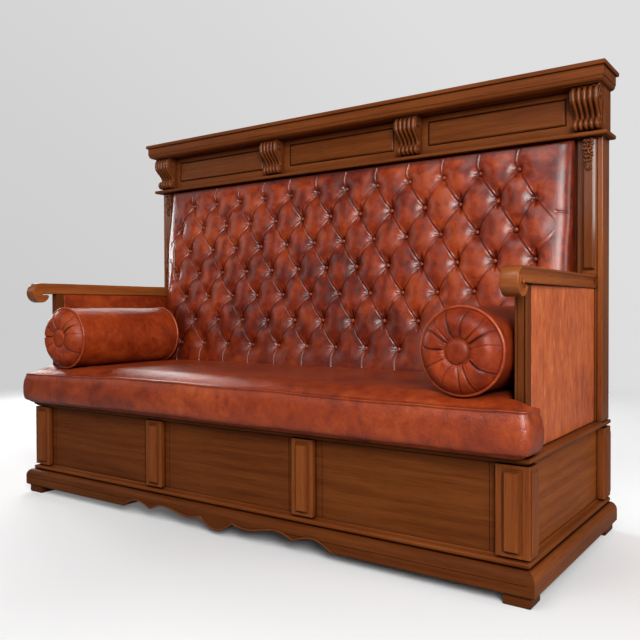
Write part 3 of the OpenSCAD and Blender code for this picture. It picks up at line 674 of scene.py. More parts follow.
def build_back():
    step_x, step_z = DX / 64, DZ / 32
    x_flat, x_roll, rx, ry = 0.870, 0.812, 0.0945, 0.046
    z_flat, r_top = 1.2335, 0.009
    n_flat = int(round(x_flat / step_x))
    xs = np.arange(-n_flat, n_flat + 1) * step_x
    z_low = 0.470
    k0 = int(math.floor((z_low - ZTOP) / step_z))
    k1 = int(math.floor((z_flat - ZTOP) / step_z))
    zs = ZTOP + np.arange(k0, k1 + 1) * step_z
    low = np.linspace(0.357, zs[0], 14)[:-1]
    zs = np.concatenate([low, zs])
    x_end, z_end = xs[-1], zs[-1]
    # beyond the flat field the sheet turns over a broad roll, then runs back
    t0 = math.asin((x_end - x_roll) / rx)  # where the regular columns stop
    side = [(x_roll + rx * math.sin(t), 0.0) for t in np.linspace(t0, PI / 2, 17)[1:]]
    side += [(x_roll + rx, f) for f in np.linspace(0, 1, 7)[1:]]
    top = [(z_end + r_top * math.sin(t), r_top * (1 - math.cos(t)), 0.0) for t in np.linspace(0, PI / 2, 7)[1:]]
    top += [(z_end + r_top, r_top, f) for f in np.linspace(0, 1, 4)[1:]]
    cols = [(-a, c) for a, c in side[::-1]] + [(x, 0.0) for x in xs] + side
    rows = [(z, 0.0, 0.0) for z in zs] + top
    cx, cf = (np.array([c[i] for c in cols]) for i in range(2))
    rz, rb, rf = (np.array([r[i] for r in rows]) for i in range(3))
    X, Z = np.meshgrid(cx, rz, indexing="ij")
    RB = np.meshgrid(cx, rb, indexing="ij")[1]
    CF = np.meshgrid(cf, rz, indexing="ij")[0]
    RF = np.meshgrid(cx, rf, indexing="ij")[1]
    sin_t = np.clip((np.abs(X) - x_roll) / rx, 0, 1)
    cos_t = np.sqrt(1 - sin_t ** 2)
    blunt = np.where(X > 0, 2.6, 2.1)
    sink = 1 - np.clip(1 - sin_t ** blunt, 0, 1) ** 0.48
    h, fold_shade = tufted_height(np.clip(X, -x_end, x_end), np.clip(Z, 0.357, z_end))
    d, f2 = roll_creases(X, Z)
    live = (1 - CF) * (1 - RF)
    fold_shade = np.maximum(fold_shade, f2) * (1 - sstep(CF, 0, 0.2))
    # the roll is pulled in at the top and low down
    left = (X < 0).astype(float)
    swell = np.interp(Z, (0.55, 0.70, 0.76, 0.82, 0.92, 1.10, 1.17, 1.245), (-0.006, -0.0180, -0.0250, -0.0250, -0.0115, -0.0040, -0.0020, 0.0010))
    swell = left * swell + (1 - left) * (0.0045 - 0.002 * sstep(Z, 1.17, 1.23))
    swell = swell - 0.008 * sstep(-Z, -0.80, -0.66) + 0.0025 * vnoise(Z * 10, np.sign(X), 51) * (0.4 + 0.6 * left)
    to_rear = -left * 0.0045 - (1 - left) * 0.0050
    CP = CF ** np.where(X > 0, 0.6, 1.0)
    Xn = X + np.sign(X) * (swell * sstep(np.abs(X), 0.78, 0.90) * (1 - CP) + to_rear * CP)
    Xn = Xn + np.sign(X) * sin_t * d * live
    Y = y_button(Z) - h - cos_t * d * live + ry * sink + RB
    back = 0.3445
    f = np.maximum(CF, RF)
    Y = Y + (back - Y) * f
    Y = np.minimum(Y, back)
    # painted shadow on the top roll, under the moulding
    fold_shade = np.maximum(fold_shade, 0.8 * sstep(RB, 0, 0.004) * (1 - 0.8 * sstep(np.abs(X), 0.82, 0.88)))
    # at both ends the padding is pushed up under the moulding
    Zn = Z + np.clip((Y - 0.268) * 0.22, 0, 0.0105) * sstep(Z, 1.205, 1.2425) * sstep(np.abs(X), 0.83, 0.89)
    P = np.stack([Xn, Y, Zn], -1)
    nu, nv = X.shape
    idx = np.arange(nu * nv).reshape(nu, nv)
    a, b, c, d = idx[:-1, :-1], idx[1:, :-1], idx[1:, 1:], idx[:-1, 1:]
    # split each cell along the fold that is nearer
    xm = (cx[:-1] + cx[1:]) / 2
    zm = (rz[:-1] + rz[1:]) / 2
    XM, ZM = np.meshgrid(xm, zm, indexing="ij")
    um, vm = XM / (DX / 2), (ZM - ZTOP) / DZ
    pa, pb = (um + vm - 1) / 2, (um - vm - 1) / 2
    nearA = np.abs(pa - np.round(pa)) < np.abs(pb - np.round(pb))
    t1 = np.where(nearA[..., None], np.stack([a, b, d], -1), np.stack([a, b, c], -1))
    t2 = np.where(nearA[..., None], np.stack([b, c, d], -1), np.stack([a, c, d], -1))
    faces = np.concatenate([t1.reshape(-1, 3), t2.reshape(-1, 3)])
    ob = add_mesh("back_tufted_leather", P.reshape(-1, 3), faces, True, {"fold_shade": fold_shade})
    n = len(ob.data.polygons)
    if n > 190000:
        modify(ob, "DECIMATE", ratio=188000 / n)
        apply_modifiers(ob)
    ob.data.polygons.foreach_set("use_smooth", [True] * len(ob.data.polygons))
    ob.data.materials.append(BACK_LEATHER)
    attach(ob, "frame")
    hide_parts("back_leather", "back_foam")
    return ob


def dome_rings(r, h, rings, n, lip=0.0):
    """Profile of a covered button: (radius, height) pairs from rim to crown."""
    out = [(r * 0.86, -0.35 * h)]
    for t in np.linspace(0, PI / 2, rings)[:-1]:
        out.append((r * math.cos(t) ** 0.8, h * math.sin(t)))
    return out


def put_dome(parts, centre, normal, r, h, n=20, rings=7, wob=0.0, phase=0.0):
    normal = Vector(normal).normalized()
    side = normal.orthogonal().normalized()
    other = normal.cross(side)
    c = Vector(centre)
    prof = dome_rings(r, h, rings, n)
    V = []
    for rad, hh in prof:
        for i in range(n):
            t = 2 * PI * i / n
            k = 1 + wob * math.sin(3 * t + phase)
            V.append(c + side * (rad * k * math.cos(t)) + other * (rad * k * math.sin(t)) + normal * hh)
    V.append(c + normal * h)
    m = len(prof)
    F = grid_faces(m, n, False, True, flip=True).tolist()
    F += [[(m - 1) * n + i, (m - 1) * n + (i + 1) % n, m * n] for i in range(n)]
    F.append([i for i in range(n)][::-1])
    parts.add([list(p) for p in V], F)


def build_buttons():
    parts = Parts()
    for k in range(ROWS):
        n = 12 if k % 2 == 0 else 13
        for i in range(n):
            x = (i - (n - 1) / 2) * DX
            z = ZTOP - k * DZ
            j = float(vnoise(np.array(i * 1.3 + 0.2), np.array(k * 1.9), 61))
            j2 = float(vnoise(np.array(i * 1.3 + 0.2), np.array(k * 1.9), 62))
            nrm = (0.10 * j, -1.0, 0.1357 + 0.10 * j2)
            put_dome(parts, (x, y_button(z) - 0.0020, z), nrm, 0.0088, 0.0076, 20, 7)
    ob = outward(parts.make("back_buttons"))
    ob.data.polygons.foreach_set("use_smooth", [True] * len(ob.data.polygons))
    ob.data.materials.append(TRIM_LEATHER)
    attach(ob, "frame")
    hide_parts("tuft_buttons")
    return ob


build_back()
build_buttons()


# ------------------------------------------------------------------ seat cushion
def build_cushion():
    ear_x, notch_x = 1.0030, 0.9245
    y_front, y_ear, y_back = -0.4015, -0.2975, 0.152
    z_seam, z_bot = 0.4640, 0.3562

    def lines(knots, step):
        out = [knots[0]]
        for a, b in zip(knots[:-1], knots[1:]):
            n = max(1, int(round((b - a) / step)))
            out += [a + (b - a) * i / n for i in range(1, n + 1)]
        return np.array(out)

    xs = lines([-ear_x, -notch_x, 0.0, notch_x, ear_x], 0.0078)
    ys = lines([y_front, y_ear, y_back], 0.0078)
    ix0 = int(np.argmin(np.abs(xs + notch_x)))
    ix1 = int(np.argmin(np.abs(xs - notch_x)))
    iy0 = int(np.argmin(np.abs(ys - y_ear)))
    nx, ny = len(xs), len(ys)
    keep = np.zeros((nx - 1, ny - 1), bool)
    keep[:, :iy0] = True
    keep[ix0:ix1, :] = True
    loop = [(i, 0) for i in range(nx)]
    loop += [(nx - 1, j) for j in range(1, iy0 + 1)]
    loop += [(i, iy0) for i in range(nx - 2, ix1 - 1, -1)]
    loop += [(ix1, j) for j in range(iy0 + 1, ny)]
    loop += [(i, ny - 1) for i in range(ix1 - 1, ix0 - 1, -1)]
    loop += [(ix0, j) for j in range(ny - 2, iy0 - 1, -1)]
    loop += [(i, iy0) for i in range(ix0 - 1, -1, -1)]
    loop += [(0, j) for j in range(iy0 - 1, 0, -1)]

    X, Y = np.meshgrid(xs, ys, indexing="ij")

    def rounded(X, Y, r_front=0.018, r_rear=0.006):
        # plan corners of the ears are rounded
        Xo, Yo = X.copy(), Y.copy()
        for sx in (-1, 1):
            for R, cy, sy in ((r_front, y_front, -1), (r_rear, y_ear, 1)):
                x0, y0 = ear_x - R, cy - sy * R
                u = np.clip((X * sx - x0) / R, 0, 1)
                v = np.clip((Y - y0) * sy / R, 0, 1)
                in_c = (X * sx > x0) & ((Y - y0) * sy > 0) & (Y <= y_ear + 1e-9)
                un, vn = u * np.sqrt(1 - v * v / 2), v * np.sqrt(1 - u * u / 2)
                Xo = np.where(in_c, sx * (x0 + R * un), Xo)
                Yo = np.where(in_c, y0 + sy * R * vn, Yo)
        for sx in (-1, 1):
            R = 0.03
            x0, y0 = notch_x - R, y_back - R
            u = np.clip((X * sx - x0) / R, 0, 1)
            v = np.clip((Y - y0) / R, 0, 1)
            in_c = (X * sx > x0) & (Y > y0)
            un, vn = u * np.sqrt(1 - v * v / 2), v * np.sqrt(1 - u * u / 2)
            Xo = np.where(in_c, sx * (x0 + R * un), Xo)
            Yo = np.where(in_c, y0 + R * vn, Yo)
        return Xo, Yo

    XR, YR = rounded(X, Y)
    XM, YM = rounded(X, Y, 0.013, 0.004)
    # the front edge bows out a little between the ears
    YR = YR - 0.0022 * np.cos(PI * np.clip(XR / 2.05, -0.5, 0.5)) * sstep(-YR, 0.25, 0.41)
    YM = YM - 0.0022 * np.cos(PI * np.clip(XM / 2.05, -0.5, 0.5)) * sstep(-YM, 0.25, 0.41)
    ax = np.abs(X)
    d_front = Y - y_front
    d_ear = np.where(Y < y_ear, ear_x - ax, np.hypot(np.maximum(ax - notch_x, 0), 0) + 9)
    d_earback = np.where(ax > notch_x, y_ear - Y, np.hypot(np.maximum(notch_x - ax, 0), np.maximum(y_ear - Y, 0)) + 0.02)
    d_side = np.where(Y >= y_ear, notch_x - ax, np.hypot(np.maximum(notch_x - ax, 0), y_ear - Y))
    d_back = y_back - Y

    def rise(d, D, p=2.2):
        return 1 - (1 - np.clip(d / D, 0, 1)) ** p

    crown = 0.5015 + 0.004 * np.cos(PI * X / 2.0)
    crown = crown - 0.0070 * sstep(ax, 0.86, 0.965)
    nest = np.exp(-(((ax - 0.8165) / 0.075) ** 2)) * (sstep(Y, -0.40, -0.34) * (1 - sstep(Y, 0.13, 0.16)))
    crown = crown - 0.0125 * nest
    edge = rise(d_front, 0.078) * rise(d_ear, 0.085, 2.2) * rise(d_earback + 0.010, 0.042, 2.0)
    edge = edge * (0.55 + 0.45 * rise(d_side, 0.03)) * (0.78 + 0.22 * rise(d_back, 0.035))
    # worn hollows where people sit
    sit = sum(np.exp(-(((X - c) / 0.20) ** 2) - (((Y + 0.10) / 0.16) ** 2)) for c in (-0.46, 0.02, 0.47))
    # the front seam rides higher than the others, most of all left of the middle
    def seam_lift(x, y):
        return np.interp(x, (-1.0, -0.90, -0.705, -0.534, 0.202, 0.42, 0.787, 0.943, 1.0),
                         (0.001, 0.004, 0.008, 0.0125, 0.0125, 0.0070, 0.0060, 0.0080, 0.0060)) * sstep(-y, 0.30, 0.40)

    zs_top = z_seam + seam_lift(X, Y)
    Zt = zs_top + (crown - zs_top) * edge - 0.0035 * sit
    Zt = Zt + (0.0016 * fnoise(X * 7, Y * 9, 71, 3) + 0.0007 * fnoise(X * 22, Y * 26, 73, 2)) * rise(np.minimum(d_front, 0.2), 0.06)
    # the piping of the bolsters presses a shallow line
    for yc in (-0.3485, 0.1265):
        Zt = Zt - 0.0022 * np.exp(-((Y - yc) / 0.009) ** 2) * np.exp(-(((ax - 0.8165) / 0.045) ** 2))

    parts = Parts()
    used = np.zeros((nx, ny), bool)
    used[:-1, :-1] |= keep
    used[1:, :-1] |= keep
    used[:-1, 1:] |= keep
    used[1:, 1:] |= keep
    idx = -np.ones((nx, ny), int)
    idx[used] = np.arange(used.sum())
    top = np.stack([XR, YR, Zt], -1)[used]
    fi = [(i, j) for i in range(nx - 1) for j in range(ny - 1) if keep[i, j]]
    f_top = [[idx[i, j], idx[i + 1, j], idx[i + 1, j + 1], idx[i, j + 1]] for i, j in fi]
    bottom = np.stack([XR, YR, np.full_like(XR, z_bot)], -1)
    # pull the bottom in a little all round
    L = np.array([[XR[i, j], YR[i, j]] for i, j in loop])
    T = np.roll(L, -3, 0) - np.roll(L, 3, 0)
    T /= np.linalg.norm(T, axis=1)[:, None]
    Nn = np.stack([T[:, 1], -T[:, 0]], -1)
    for _ in range(3):
        Nn = (np.roll(Nn, 1, 0) + 2 * Nn + np.roll(Nn, -1, 0))
        Nn /= np.linalg.norm(Nn, axis=1)[:, None]
    LM = np.array([[XM[i, j], YM[i, j]] for i, j in loop])
    arc = np.concatenate([[0], np.cumsum(np.linalg.norm(np.diff(L, axis=0), axis=1))])
    n_loop = len(loop)
    is_free = np.array([1.0 if (YR[i, j] < y_ear + 0.004) else 0.0 for i, j in loop])
    for _ in range(4):
        is_free = (np.roll(is_free, 1) + 2 * is_free + np.roll(is_free, -1)) / 4
    wav = 0.0016 * vnoise(L[:, 0] * 7, L[:, 1] * 7, 81) + 0.0008 * vnoise(L[:, 0] * 19, L[:, 1] * 19, 82)
    front_w = sstep(-L[:, 1], 0.30, 0.40)
    lift = seam_lift(L[:, 0], L[:, 1])
    zs_loop = z_seam + lift + wav * front_w
    corner = np.exp(-((np.abs(L[:, 0]) - 0.975) / 0.035) ** 2) * sstep(-L[:, 1], 0.33, 0.40)
    # (outward, down from the seam) of the boxing, welt first
    prof = [(0.0010, -0.0022), (0.0028, -0.0014), (0.0034, 0.0004), (0.0026, 0.0022), (0.0002, 0.0036),
            (0.0008, 0.0064), (0.0034, 0.0130), (0.0062, 0.0240), (0.0080, 0.0380), (0.0088, 0.0520),
            (0.0087, 0.0660), (0.0077, 0.0780), (0.0060, 0.0875), (0.0032, 0.0950), (-0.0020, 0.0995), (-0.0100, 0.1020)]
    rings = []
    scale = np.where(is_free > 0.5, 1.0, 0.55)
    for q, (o, dn) in enumerate(prof):
        out_by = np.full(n_loop, o)
        t = dn / 0.1020
        if q >= 5:
            puff = 0.0016 * vnoise(L[:, 0] * 5 + 3, t * 1.5 + L[:, 1] * 5, 83) + 0.0006 * vnoise(L[:, 0] * 17, t * 4 + L[:, 1] * 17, 84)
            puff = puff * math.sin(PI * min(1, max(0, t)))
            puff = puff + corner * 0.0012 * np.sin(arc * 2 * PI / 0.021 + 1.5 * t) * (t ** 2)
            out_by = out_by * scale + puff * is_free
        z = np.maximum(zs_loop - dn * (1 + lift / 0.1020), z_bot + 0.0002)
        turn = math.sin(PI * min(1.0, t * 0.62)) ** 0.8 if q >= 5 else 0.0
        xy = L * (1 - turn) + LM * turn + Nn * out_by[:, None]
        ends = sstep(np.abs(L[:, 0]), 0.93, 1.0) * sstep(-L[:, 1], 0.29, 0.31) * math.sin(PI * min(1.0, max(0.0, t) * 0.80)) ** 0.7
        xy[:, 0] += np.sign(L[:, 0]) * ends * np.where(L[:, 0] < 0, 0.0065, 0.0012)
        rings.append(np.column_stack([xy, z]))
    # flat underside
    bi = idx + used.sum()
    Bm = bottom[used].copy()
    centre = Bm[:, :2] * np.array([0.985, 0.962]) + np.array([0, -0.004])
    Bm[:, :2] = centre
    V = [top, Bm]
    base = 2 * used.sum()
    ring_v = np.concatenate(rings)
    V.append(ring_v)
    F = f_top + [[bi[i, j], bi[i, j + 1], bi[i + 1, j + 1], bi[i + 1, j]] for i, j in fi]
    tl = [idx[i, j] for i, j in loop]
    bl = [bi[i, j] for i, j in loop]
    m = len(rings)
    for q in range(-1, m):
        for s in range(n_loop):
            s2 = (s + 1) % n_loop
            a = tl[s] if q < 0 else base + q * n_loop + s
            b = tl[s2] if q < 0 else base + q * n_loop + s2
            c = bl[s2] if q == m - 1 else base + (q + 1) * n_loop + s2
            d = bl[s] if q == m - 1 else base + (q + 1) * n_loop + s
            F.append([b, a, d, c])
    ob = add_mesh("seat_cushion", np.concatenate(V), F)
    outward(ob)
    ob.data.polygons.foreach_set("use_smooth", [True] * len(ob.data.polygons))
    ob.data.materials.append(SEAT_LEATHER)
    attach(ob, "seat_cushion")
    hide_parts("seat_cushion_cover", "seat_cushion_foam")
    return ob


build_cushion()

# ------------------------------------------------------------------ bolsters
BOL_X, BOL_Z, BOL_R = 0.8165, 0.608, 0.113
Y0, Y1 = -0.3485, 0.1265
PLEATS = [(110, 1.0), (75, 0.9), (52, 0.8), (31, 1.2), (8, 0.35), (-29, 1.2), (-66, 1.0),
          (-88, 0.8), (-112, 0.45), (-152, 0.7), (172, 1.1), (149, 1.1), (131, 0.35)]


def disc_height(r, th, mirror):
    """How far the gathered leather stands in front of the piping, and the painted shade in its pleats."""
    dome = np.where(r > 0.068, 1 - ((r - 0.068) / 0.0432) ** 2, 1 - 0.86 * ((0.068 - r) / 0.068) ** 2)
    h = 0.0380 * np.clip(dome, 0, 1) ** 0.80
    span = sstep(r, 0.030, 0.046) * (1 - sstep(r, 0.105, 0.1125))
    lobes = np.zeros_like(h)
    prox = np.full_like(h, 9.0)
    for k, (deg, amp) in enumerate(PLEATS):
        t0 = math.radians(deg if not mirror else deg)
        bend = 0.10 * math.sin(k * 2.1) * np.sin(PI * np.clip((r - 0.03) / 0.08, 0, 1))
        d = (th - t0 - bend + PI) % (2 * PI) - PI
        s = d * r * 1000
        depth = (2.8 * (1 - sstep(r, 0.05, 0.105)) + 2.6) * amp
        lobes += depth * np.exp(-(np.abs(s) / 4.4) ** 1.10) - 1.7 * amp * bump1(s, 3.6, 2.3) + 1.6 * amp * bump1(s, 0, 1.2)
        prox = np.minimum(prox, np.abs(s) / max(amp, 0.3))
    h = h - 0.001 * lobes * span
    fine = 0.00035 * np.cos(31 * th + 1.0) * bump1(r, 0.044, 0.012)
    h = h + fine - 0.0035 * bump1(r, 0.0350, 0.0035)
    h = h + 0.0006 * fnoise(np.cos(th) * r * 40, np.sin(th) * r * 40, 91, 2) * span
    return h, span * np.exp(-prox / 1.7)


def build_bolster(side, name, other):
    n = 288
    th = np.linspace(0, 2 * PI, n, endpoint=False)
    cx = side * BOL_X
    rings, fold_shades = [], []
    rad = np.concatenate([[0.004, 0.012, 0.020, 0.026], np.linspace(0.029, 0.1115, 30)])
    for r in rad:
        h, f = disc_height(np.full(n, r), th, side < 0)
        rings.append(np.column_stack([cx + r * np.cos(th), Y0 - h, BOL_Z + r * np.sin(th)]))
        fold_shades.append(f)
    ys = np.concatenate([[Y0 + 0.0015, Y0 + 0.004, Y0 + 0.009], np.linspace(Y0 + 0.017, Y1 - 0.017, 42), [Y1 - 0.009, Y1 - 0.004, Y1 - 0.0015]])
    for y in ys:
        e = min(y - Y0, Y1 - y)
        R = BOL_R - 0.0022 * math.exp(-e / 0.007) + 0.0012 * math.sin(PI * (y - Y0) / (Y1 - Y0))
        # short gathers where the body meets the piping
        ga = 0.0007 * math.exp(-e / 0.016) * np.cos(26 * th + 2 * np.sin(3 * th))
        un = 0.0012 * fnoise(th * 2.2 + side, np.full(n, y * 7.0), 95, 3) * (1 - np.exp(-e / 0.03))
        # keep the noise continuous round the back of the angle
        wrap = sstep(np.abs(th - PI), PI, PI - 0.5)
        RR = R + ga + un * wrap
        # slightly flattened where it rests
        RR = RR - 0.0010 * bump1((th - 1.5 * PI), 0, 0.25)
        rings.append(np.column_stack([cx + RR * np.cos(th), np.full(n, y), BOL_Z + RR * np.sin(th)]))
        fold_shades.append(np.zeros(n))
    for r in rad[::-1]:
        h, f = disc_height(np.full(n, r), th, side < 0)
        rings.append(np.column_stack([cx + r * np.cos(th), Y1 + h * 0.60, BOL_Z + r * np.sin(th)]))
        fold_shades.append(f)
    P = np.stack(rings)
    m = len(rings)
    V = P.reshape(-1, 3)
    F = grid_faces(m, n, False, True).tolist()
    F.append(list(range(n)))
    F.append([(m - 1) * n + i for i in range(n)][::-1])
    ob = add_mesh(name + "_cover_soft", V, F, True, {"fold_shade": np.concatenate(fold_shades)})
    outward(ob)
    ob.data.polygons.foreach_set("use_smooth", [True] * len(ob.data.polygons))
    ob.data.materials.append(BOLSTER_LEATHER)
    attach(ob, name)
    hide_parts(name + "_cover", name + "_core")

    # piping, with the small bump where its ends meet
    parts = Parts()
    t = np.linspace(0, 2 * PI, 160, endpoint=False)
    for y in (Y0, Y1):
        join = bump1((t - math.radians(172)), 0, 0.045)
        rr = 0.0045 + 0.0012 * join + 0.00012 * np.sin(40 * t)
        R = BOL_R + 0.0004
        path = np.column_stack([cx + R * np.cos(t), np.full_like(t, y) + 0.0003 * np.sin(9 * t), BOL_Z + R * np.sin(t)])
        v, f = tube(path, rr, 12, closed=True)
        parts.add(v, f)
    p = outward(parts.make(name + "_piping_cord"))
    p.data.polygons.foreach_set("use_smooth", [True] * len(p.data.polygons))
    p.data.materials.append(PIPING_LEATHER)
    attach(p, name)
    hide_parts(name + "_piping")

    parts = Parts()
    put_dome(parts, (cx, Y0 - 0.0262, BOL_Z), (0, -1, 0), 0.0332, 0.0118, 56, 12, 0.008)
    put_dome(parts, (cx, Y1 + 0.0160, BOL_Z), (0, 1, 0), 0.0332, 0.0090, 56, 12, 0.008, 1.0)
    b = outward(parts.make(name + "_end_buttons"))
    b.data.polygons.foreach_set("use_smooth", [True] * len(b.data.polygons))
    b.data.materials.append(BOLSTER_LEATHER)
    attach(b, name)
    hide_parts(name + "_buttons")


build_bolster(-1, "bolster_left", None)
build_bolster(1, "bolster_right", None)


# ------------------------------------------------------------------ arms
def pad_slab(x_face, x_back, y0, y1, z0, z1, bulge, r, face_dir, seed):
    """A stretched leather panel: its face swells a little and its edges are rounded over."""
    def axis(a, b, n):
        e = [a + r * (1 - math.cos(t)) for t in np.linspace(0, PI / 2, 6)]
        mid = list(np.linspace(a + r, b - r, n))[1:-1]
        f = [b - r * (1 - math.cos(t)) for t in np.linspace(PI / 2, 0, 6)]
        return np.array(e + mid + f)
    ys, zs = axis(y0, y1, 56), axis(z0, z1, 44)
    Yg, Zg = np.meshgrid(ys, zs, indexing="ij")
    ey = np.minimum(Yg - y0, y1 - Yg)
    ez = np.minimum(Zg - z0, z1 - Zg)
    ky = np.sqrt(np.clip(1 - (1 - np.clip(ey / r, 0, 1)) ** 2, 0, 1))
    kz = np.sqrt(np.clip(1 - (1 - np.clip(ez / r, 0, 1)) ** 2, 0, 1))
    edge = r * (1 - np.minimum(ky, kz))
    w, hgt = (y1 - y0), (z1 - z0)
    swell = bulge * (1 - (2 * (Yg - y0) / w - 1) ** 4) * (1 - (2 * (Zg - z0) / hgt - 1) ** 4)
    swell = swell + 0.0006 * fnoise(Yg * 11, Zg * 7, seed, 2) * np.minimum(ky, kz)
    Xf = x_face + face_dir * (swell - edge)
    front = np.stack([Xf, Yg, Zg], -1)
    back = front.copy()
    back[..., 0] = x_back
    nu, nv = Yg.shape
    V = np.concatenate([front.reshape(-1, 3), back.reshape(-1, 3)])
    F = grid_faces(nu, nv).tolist() + grid_faces(nu, nv, flip=True, offset=nu * nv).tolist()
    loop = [(i, 0) for i in range(nu)] + [(nu - 1, j) for j in range(1, nv)] + [(i, nv - 1) for i in range(nu - 2, -1, -1)] + [(0, j) for j in range(nv - 2, 0, -1)]
    for s in range(len(loop)):
        a, b = loop[s], loop[(s + 1) % len(loop)]
        ia, ib = a[0] * nv + a[1], b[0] * nv + b[1]
        F.append([ia, ib, ib + nu * nv, ia + nu * nv])
    return V, F


def build_arm(side, word):
    s = side
    # inner pad: a little proud of the post, with a soft front edge
    V, F = pad_slab(s * 0.9380, s * 0.9479, -0.2675, 0.3190, 0.3555, 0.7778, 0.0036, 0.0065, -s, 101)
    ob = outward(add_mesh("arm_inner_pad_" + word, V, F))
    ob.data.polygons.foreach_set("use_smooth", [True] * len(ob.data.polygons))
    ob.data.materials.append(BOLSTER_LEATHER)
    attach(ob, "frame")
    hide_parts("arm_inner_leather_" + word)
    V, F = pad_slab(s * 0.9682, s * 0.9601, -0.2677, 0.3197, 0.3555, 0.7778, 0.0016, 0.0022, s, 102)
    ob = outward(add_mesh("arm_outer_panel_" + word, V, F))
    ob.data.polygons.foreach_set("use_smooth", [True] * len(ob.data.polygons))
    ob.data.materials.append(ARM_LEATHER)
    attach(ob, "frame")
    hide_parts("arm_outer_leather_" + word)

    parts = Parts()
    zz = np.linspace(0.3562, 0.7778, 60)
    v, f = tube(np.column_stack([np.full(60, s * 0.9690), np.full(60, -0.2663) + 0.0002 * np.sin(zz * 60), zz]), 0.0019, 8)
    parts.add(v, f)
    ob = outward(parts.make("arm_edge_cord_" + word))
    ob.data.polygons.foreach_set("use_smooth", [True] * len(ob.data.polygons))
    ob.data.materials.append(CORD_LEATHER)
    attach(ob, "frame")

    # rail that runs out into a scroll
    cy, cz, R0 = -0.365, 0.782, 0.038
    x_in, x_out = 0.9375, 0.985
    stations = []  # (outer point, inner point) in Y, Z
    for y in np.linspace(0.3199, cy + 0.004, 70):
        stations.append(((y, 0.818 + 0.0020 * float(sstep(-y, -0.30, 0.33))), (y, 0.778)))
    n_rail = len(stations)
    phi_end = 253.0
    for p in np.linspace(0, phi_end, 72):
        ro = R0 - 0.0042 * max(0.0, (p - 175) / 78)
        ri = 0.001 * float(np.interp(p, (0, 165, 190, 205, 232, 253), (-4, -4, 4.0, 10.5, 15.0, 19.5)))
        if p > phi_end - 14:  # rounded tip
            c = (p - (phi_end - 14)) / 14
            mid, half = (ro + ri) / 2, (ro - ri) / 2
            half *= math.sqrt(max(0.0, 1 - c * c)) * 0.96 + 0.04
            ro, ri = mid + half, mid - half
        a = math.radians(p)
        dy, dz = -math.sin(a), math.cos(a)
        stations.append(((cy + ro * dy, cz + ro * dz), (cy + ri * dy, cz + ri * dz)))
    # section: (across X, through the thickness), 0 at the top and 1 below
    sec = []
    b = 0.0024
    T = 0.040

    def fr(mm):
        return mm / 40.0
    # over the top, down the coved outer face, along the bottom, up the plain inner face
    for t in np.linspace(PI / 2, 0, 4):
        sec.append((x_out - b + b * math.cos(t), fr(2.4 - 2.4 * math.sin(t))))
    sec += [(x_out, fr(5.4)), (x_out - 0.0004, fr(6.1)), (x_out - 0.0016, fr(6.6))]
    for t in np.linspace(0.05, 0.95, 11):
        sec.append((x_out - 0.0016 - 0.0046 * math.sin(PI * t) ** 0.8, fr(6.6 + 26.8 * t)))
    sec += [(x_out - 0.0016, fr(33.4)), (x_out - 0.0004, fr(33.9)), (x_out, fr(34.6))]
    for t in np.linspace(0, PI / 2, 4):
        sec.append((x_out - b + b * math.cos(t), fr(37.6 + 2.4 * math.sin(t))))
    for t in np.linspace(PI / 2, 0, 4):
        sec.append((x_in + b - b * math.cos(t), fr(37.6 + 2.4 * math.sin(t))))
    sec += [(x_in, fr(34)), (x_in, fr(28)), (x_in, fr(20)), (x_in, fr(12)), (x_in, fr(6))]
    for t in np.linspace(0, PI / 2, 4):
        sec.append((x_in + b - b * math.cos(t), fr(2.4 - 2.4 * math.sin(t))))
    rings = []
    for (oy, oz), (iy, iz) in stations:
        thick = math.hypot(oy - iy, oz - iz)
        narrow = 0.0100 * float(sstep(oy, -0.30, 0.30))
        ring = []
        for x, w in sec:
            shrink = min(1.0, thick / T)
            xx = x
            if x > 0.96:
                xx = x_out - narrow - (x_out - x) * min(1.0, 0.35 + 0.65 * shrink)
            ring.append((s * xx, oy + (iy - oy) * w, oz + (iz - oz) * w))
        rings.append(ring)
    P = np.array(rings)
    m, n = P.shape[:2]
    F = grid_faces(m, n, False, True).tolist()
    F.append(list(range(n)))
    F.append([(m - 1) * n + i for i in range(n)][::-1])
    parts = Parts()
    parts.add(P.reshape(-1, 3), F)
    # eye of the scroll on both faces
    put_dome(parts, (s * (x_out - 0.0012), cy + 0.0015, cz - 0.0015), (s, 0, 0), 0.0072, 0.0034, 24, 6)
    put_dome(parts, (s * (x_in + 0.0006), cy + 0.0015, cz - 0.0015), (-s, 0, 0), 0.0055, 0.0022, 24, 6)
    ob = outward(parts.make("arm_rail_scrolled_" + word))
    modify(ob, "EDGE_SPLIT", split_angle=math.radians(50), use_edge_sharp=False)
    ob.data.polygons.foreach_set("use_smooth", [True] * len(ob.data.polygons))
    ob.data.materials.append(WOOD["rail"])
    ob.data.materials.append(WOOD["drum"])
    # the round of the scroll is a turned block with its grain across the arm
    for poly in ob.data.polygons:
        c = poly.center
        if c.y < cy + 0.002 and abs(math.hypot(c.y - cy, c.z - cz) - R0) < 0.0035 and abs(poly.normal.x) < 0.5:
            poly.material_index = 1
    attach(ob, "frame")
    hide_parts("arm_rail_" + word)


build_arm(-1, "left")
build_arm(1, "right")


# ------------------------------------------------------------------ corbels
def corbel_front(z):
    if z > 1.385:
        return 0.2640 + 0.014 * (1 - math.cos(math.radians(90 * (z - 1.385) / 0.024)))
    if z > 1.368:
        return 0.2640
    return 0.2640 + 0.0400 * (1 - math.cos(PI * min(1.0, (1.368 - z) / 0.056))) / 2


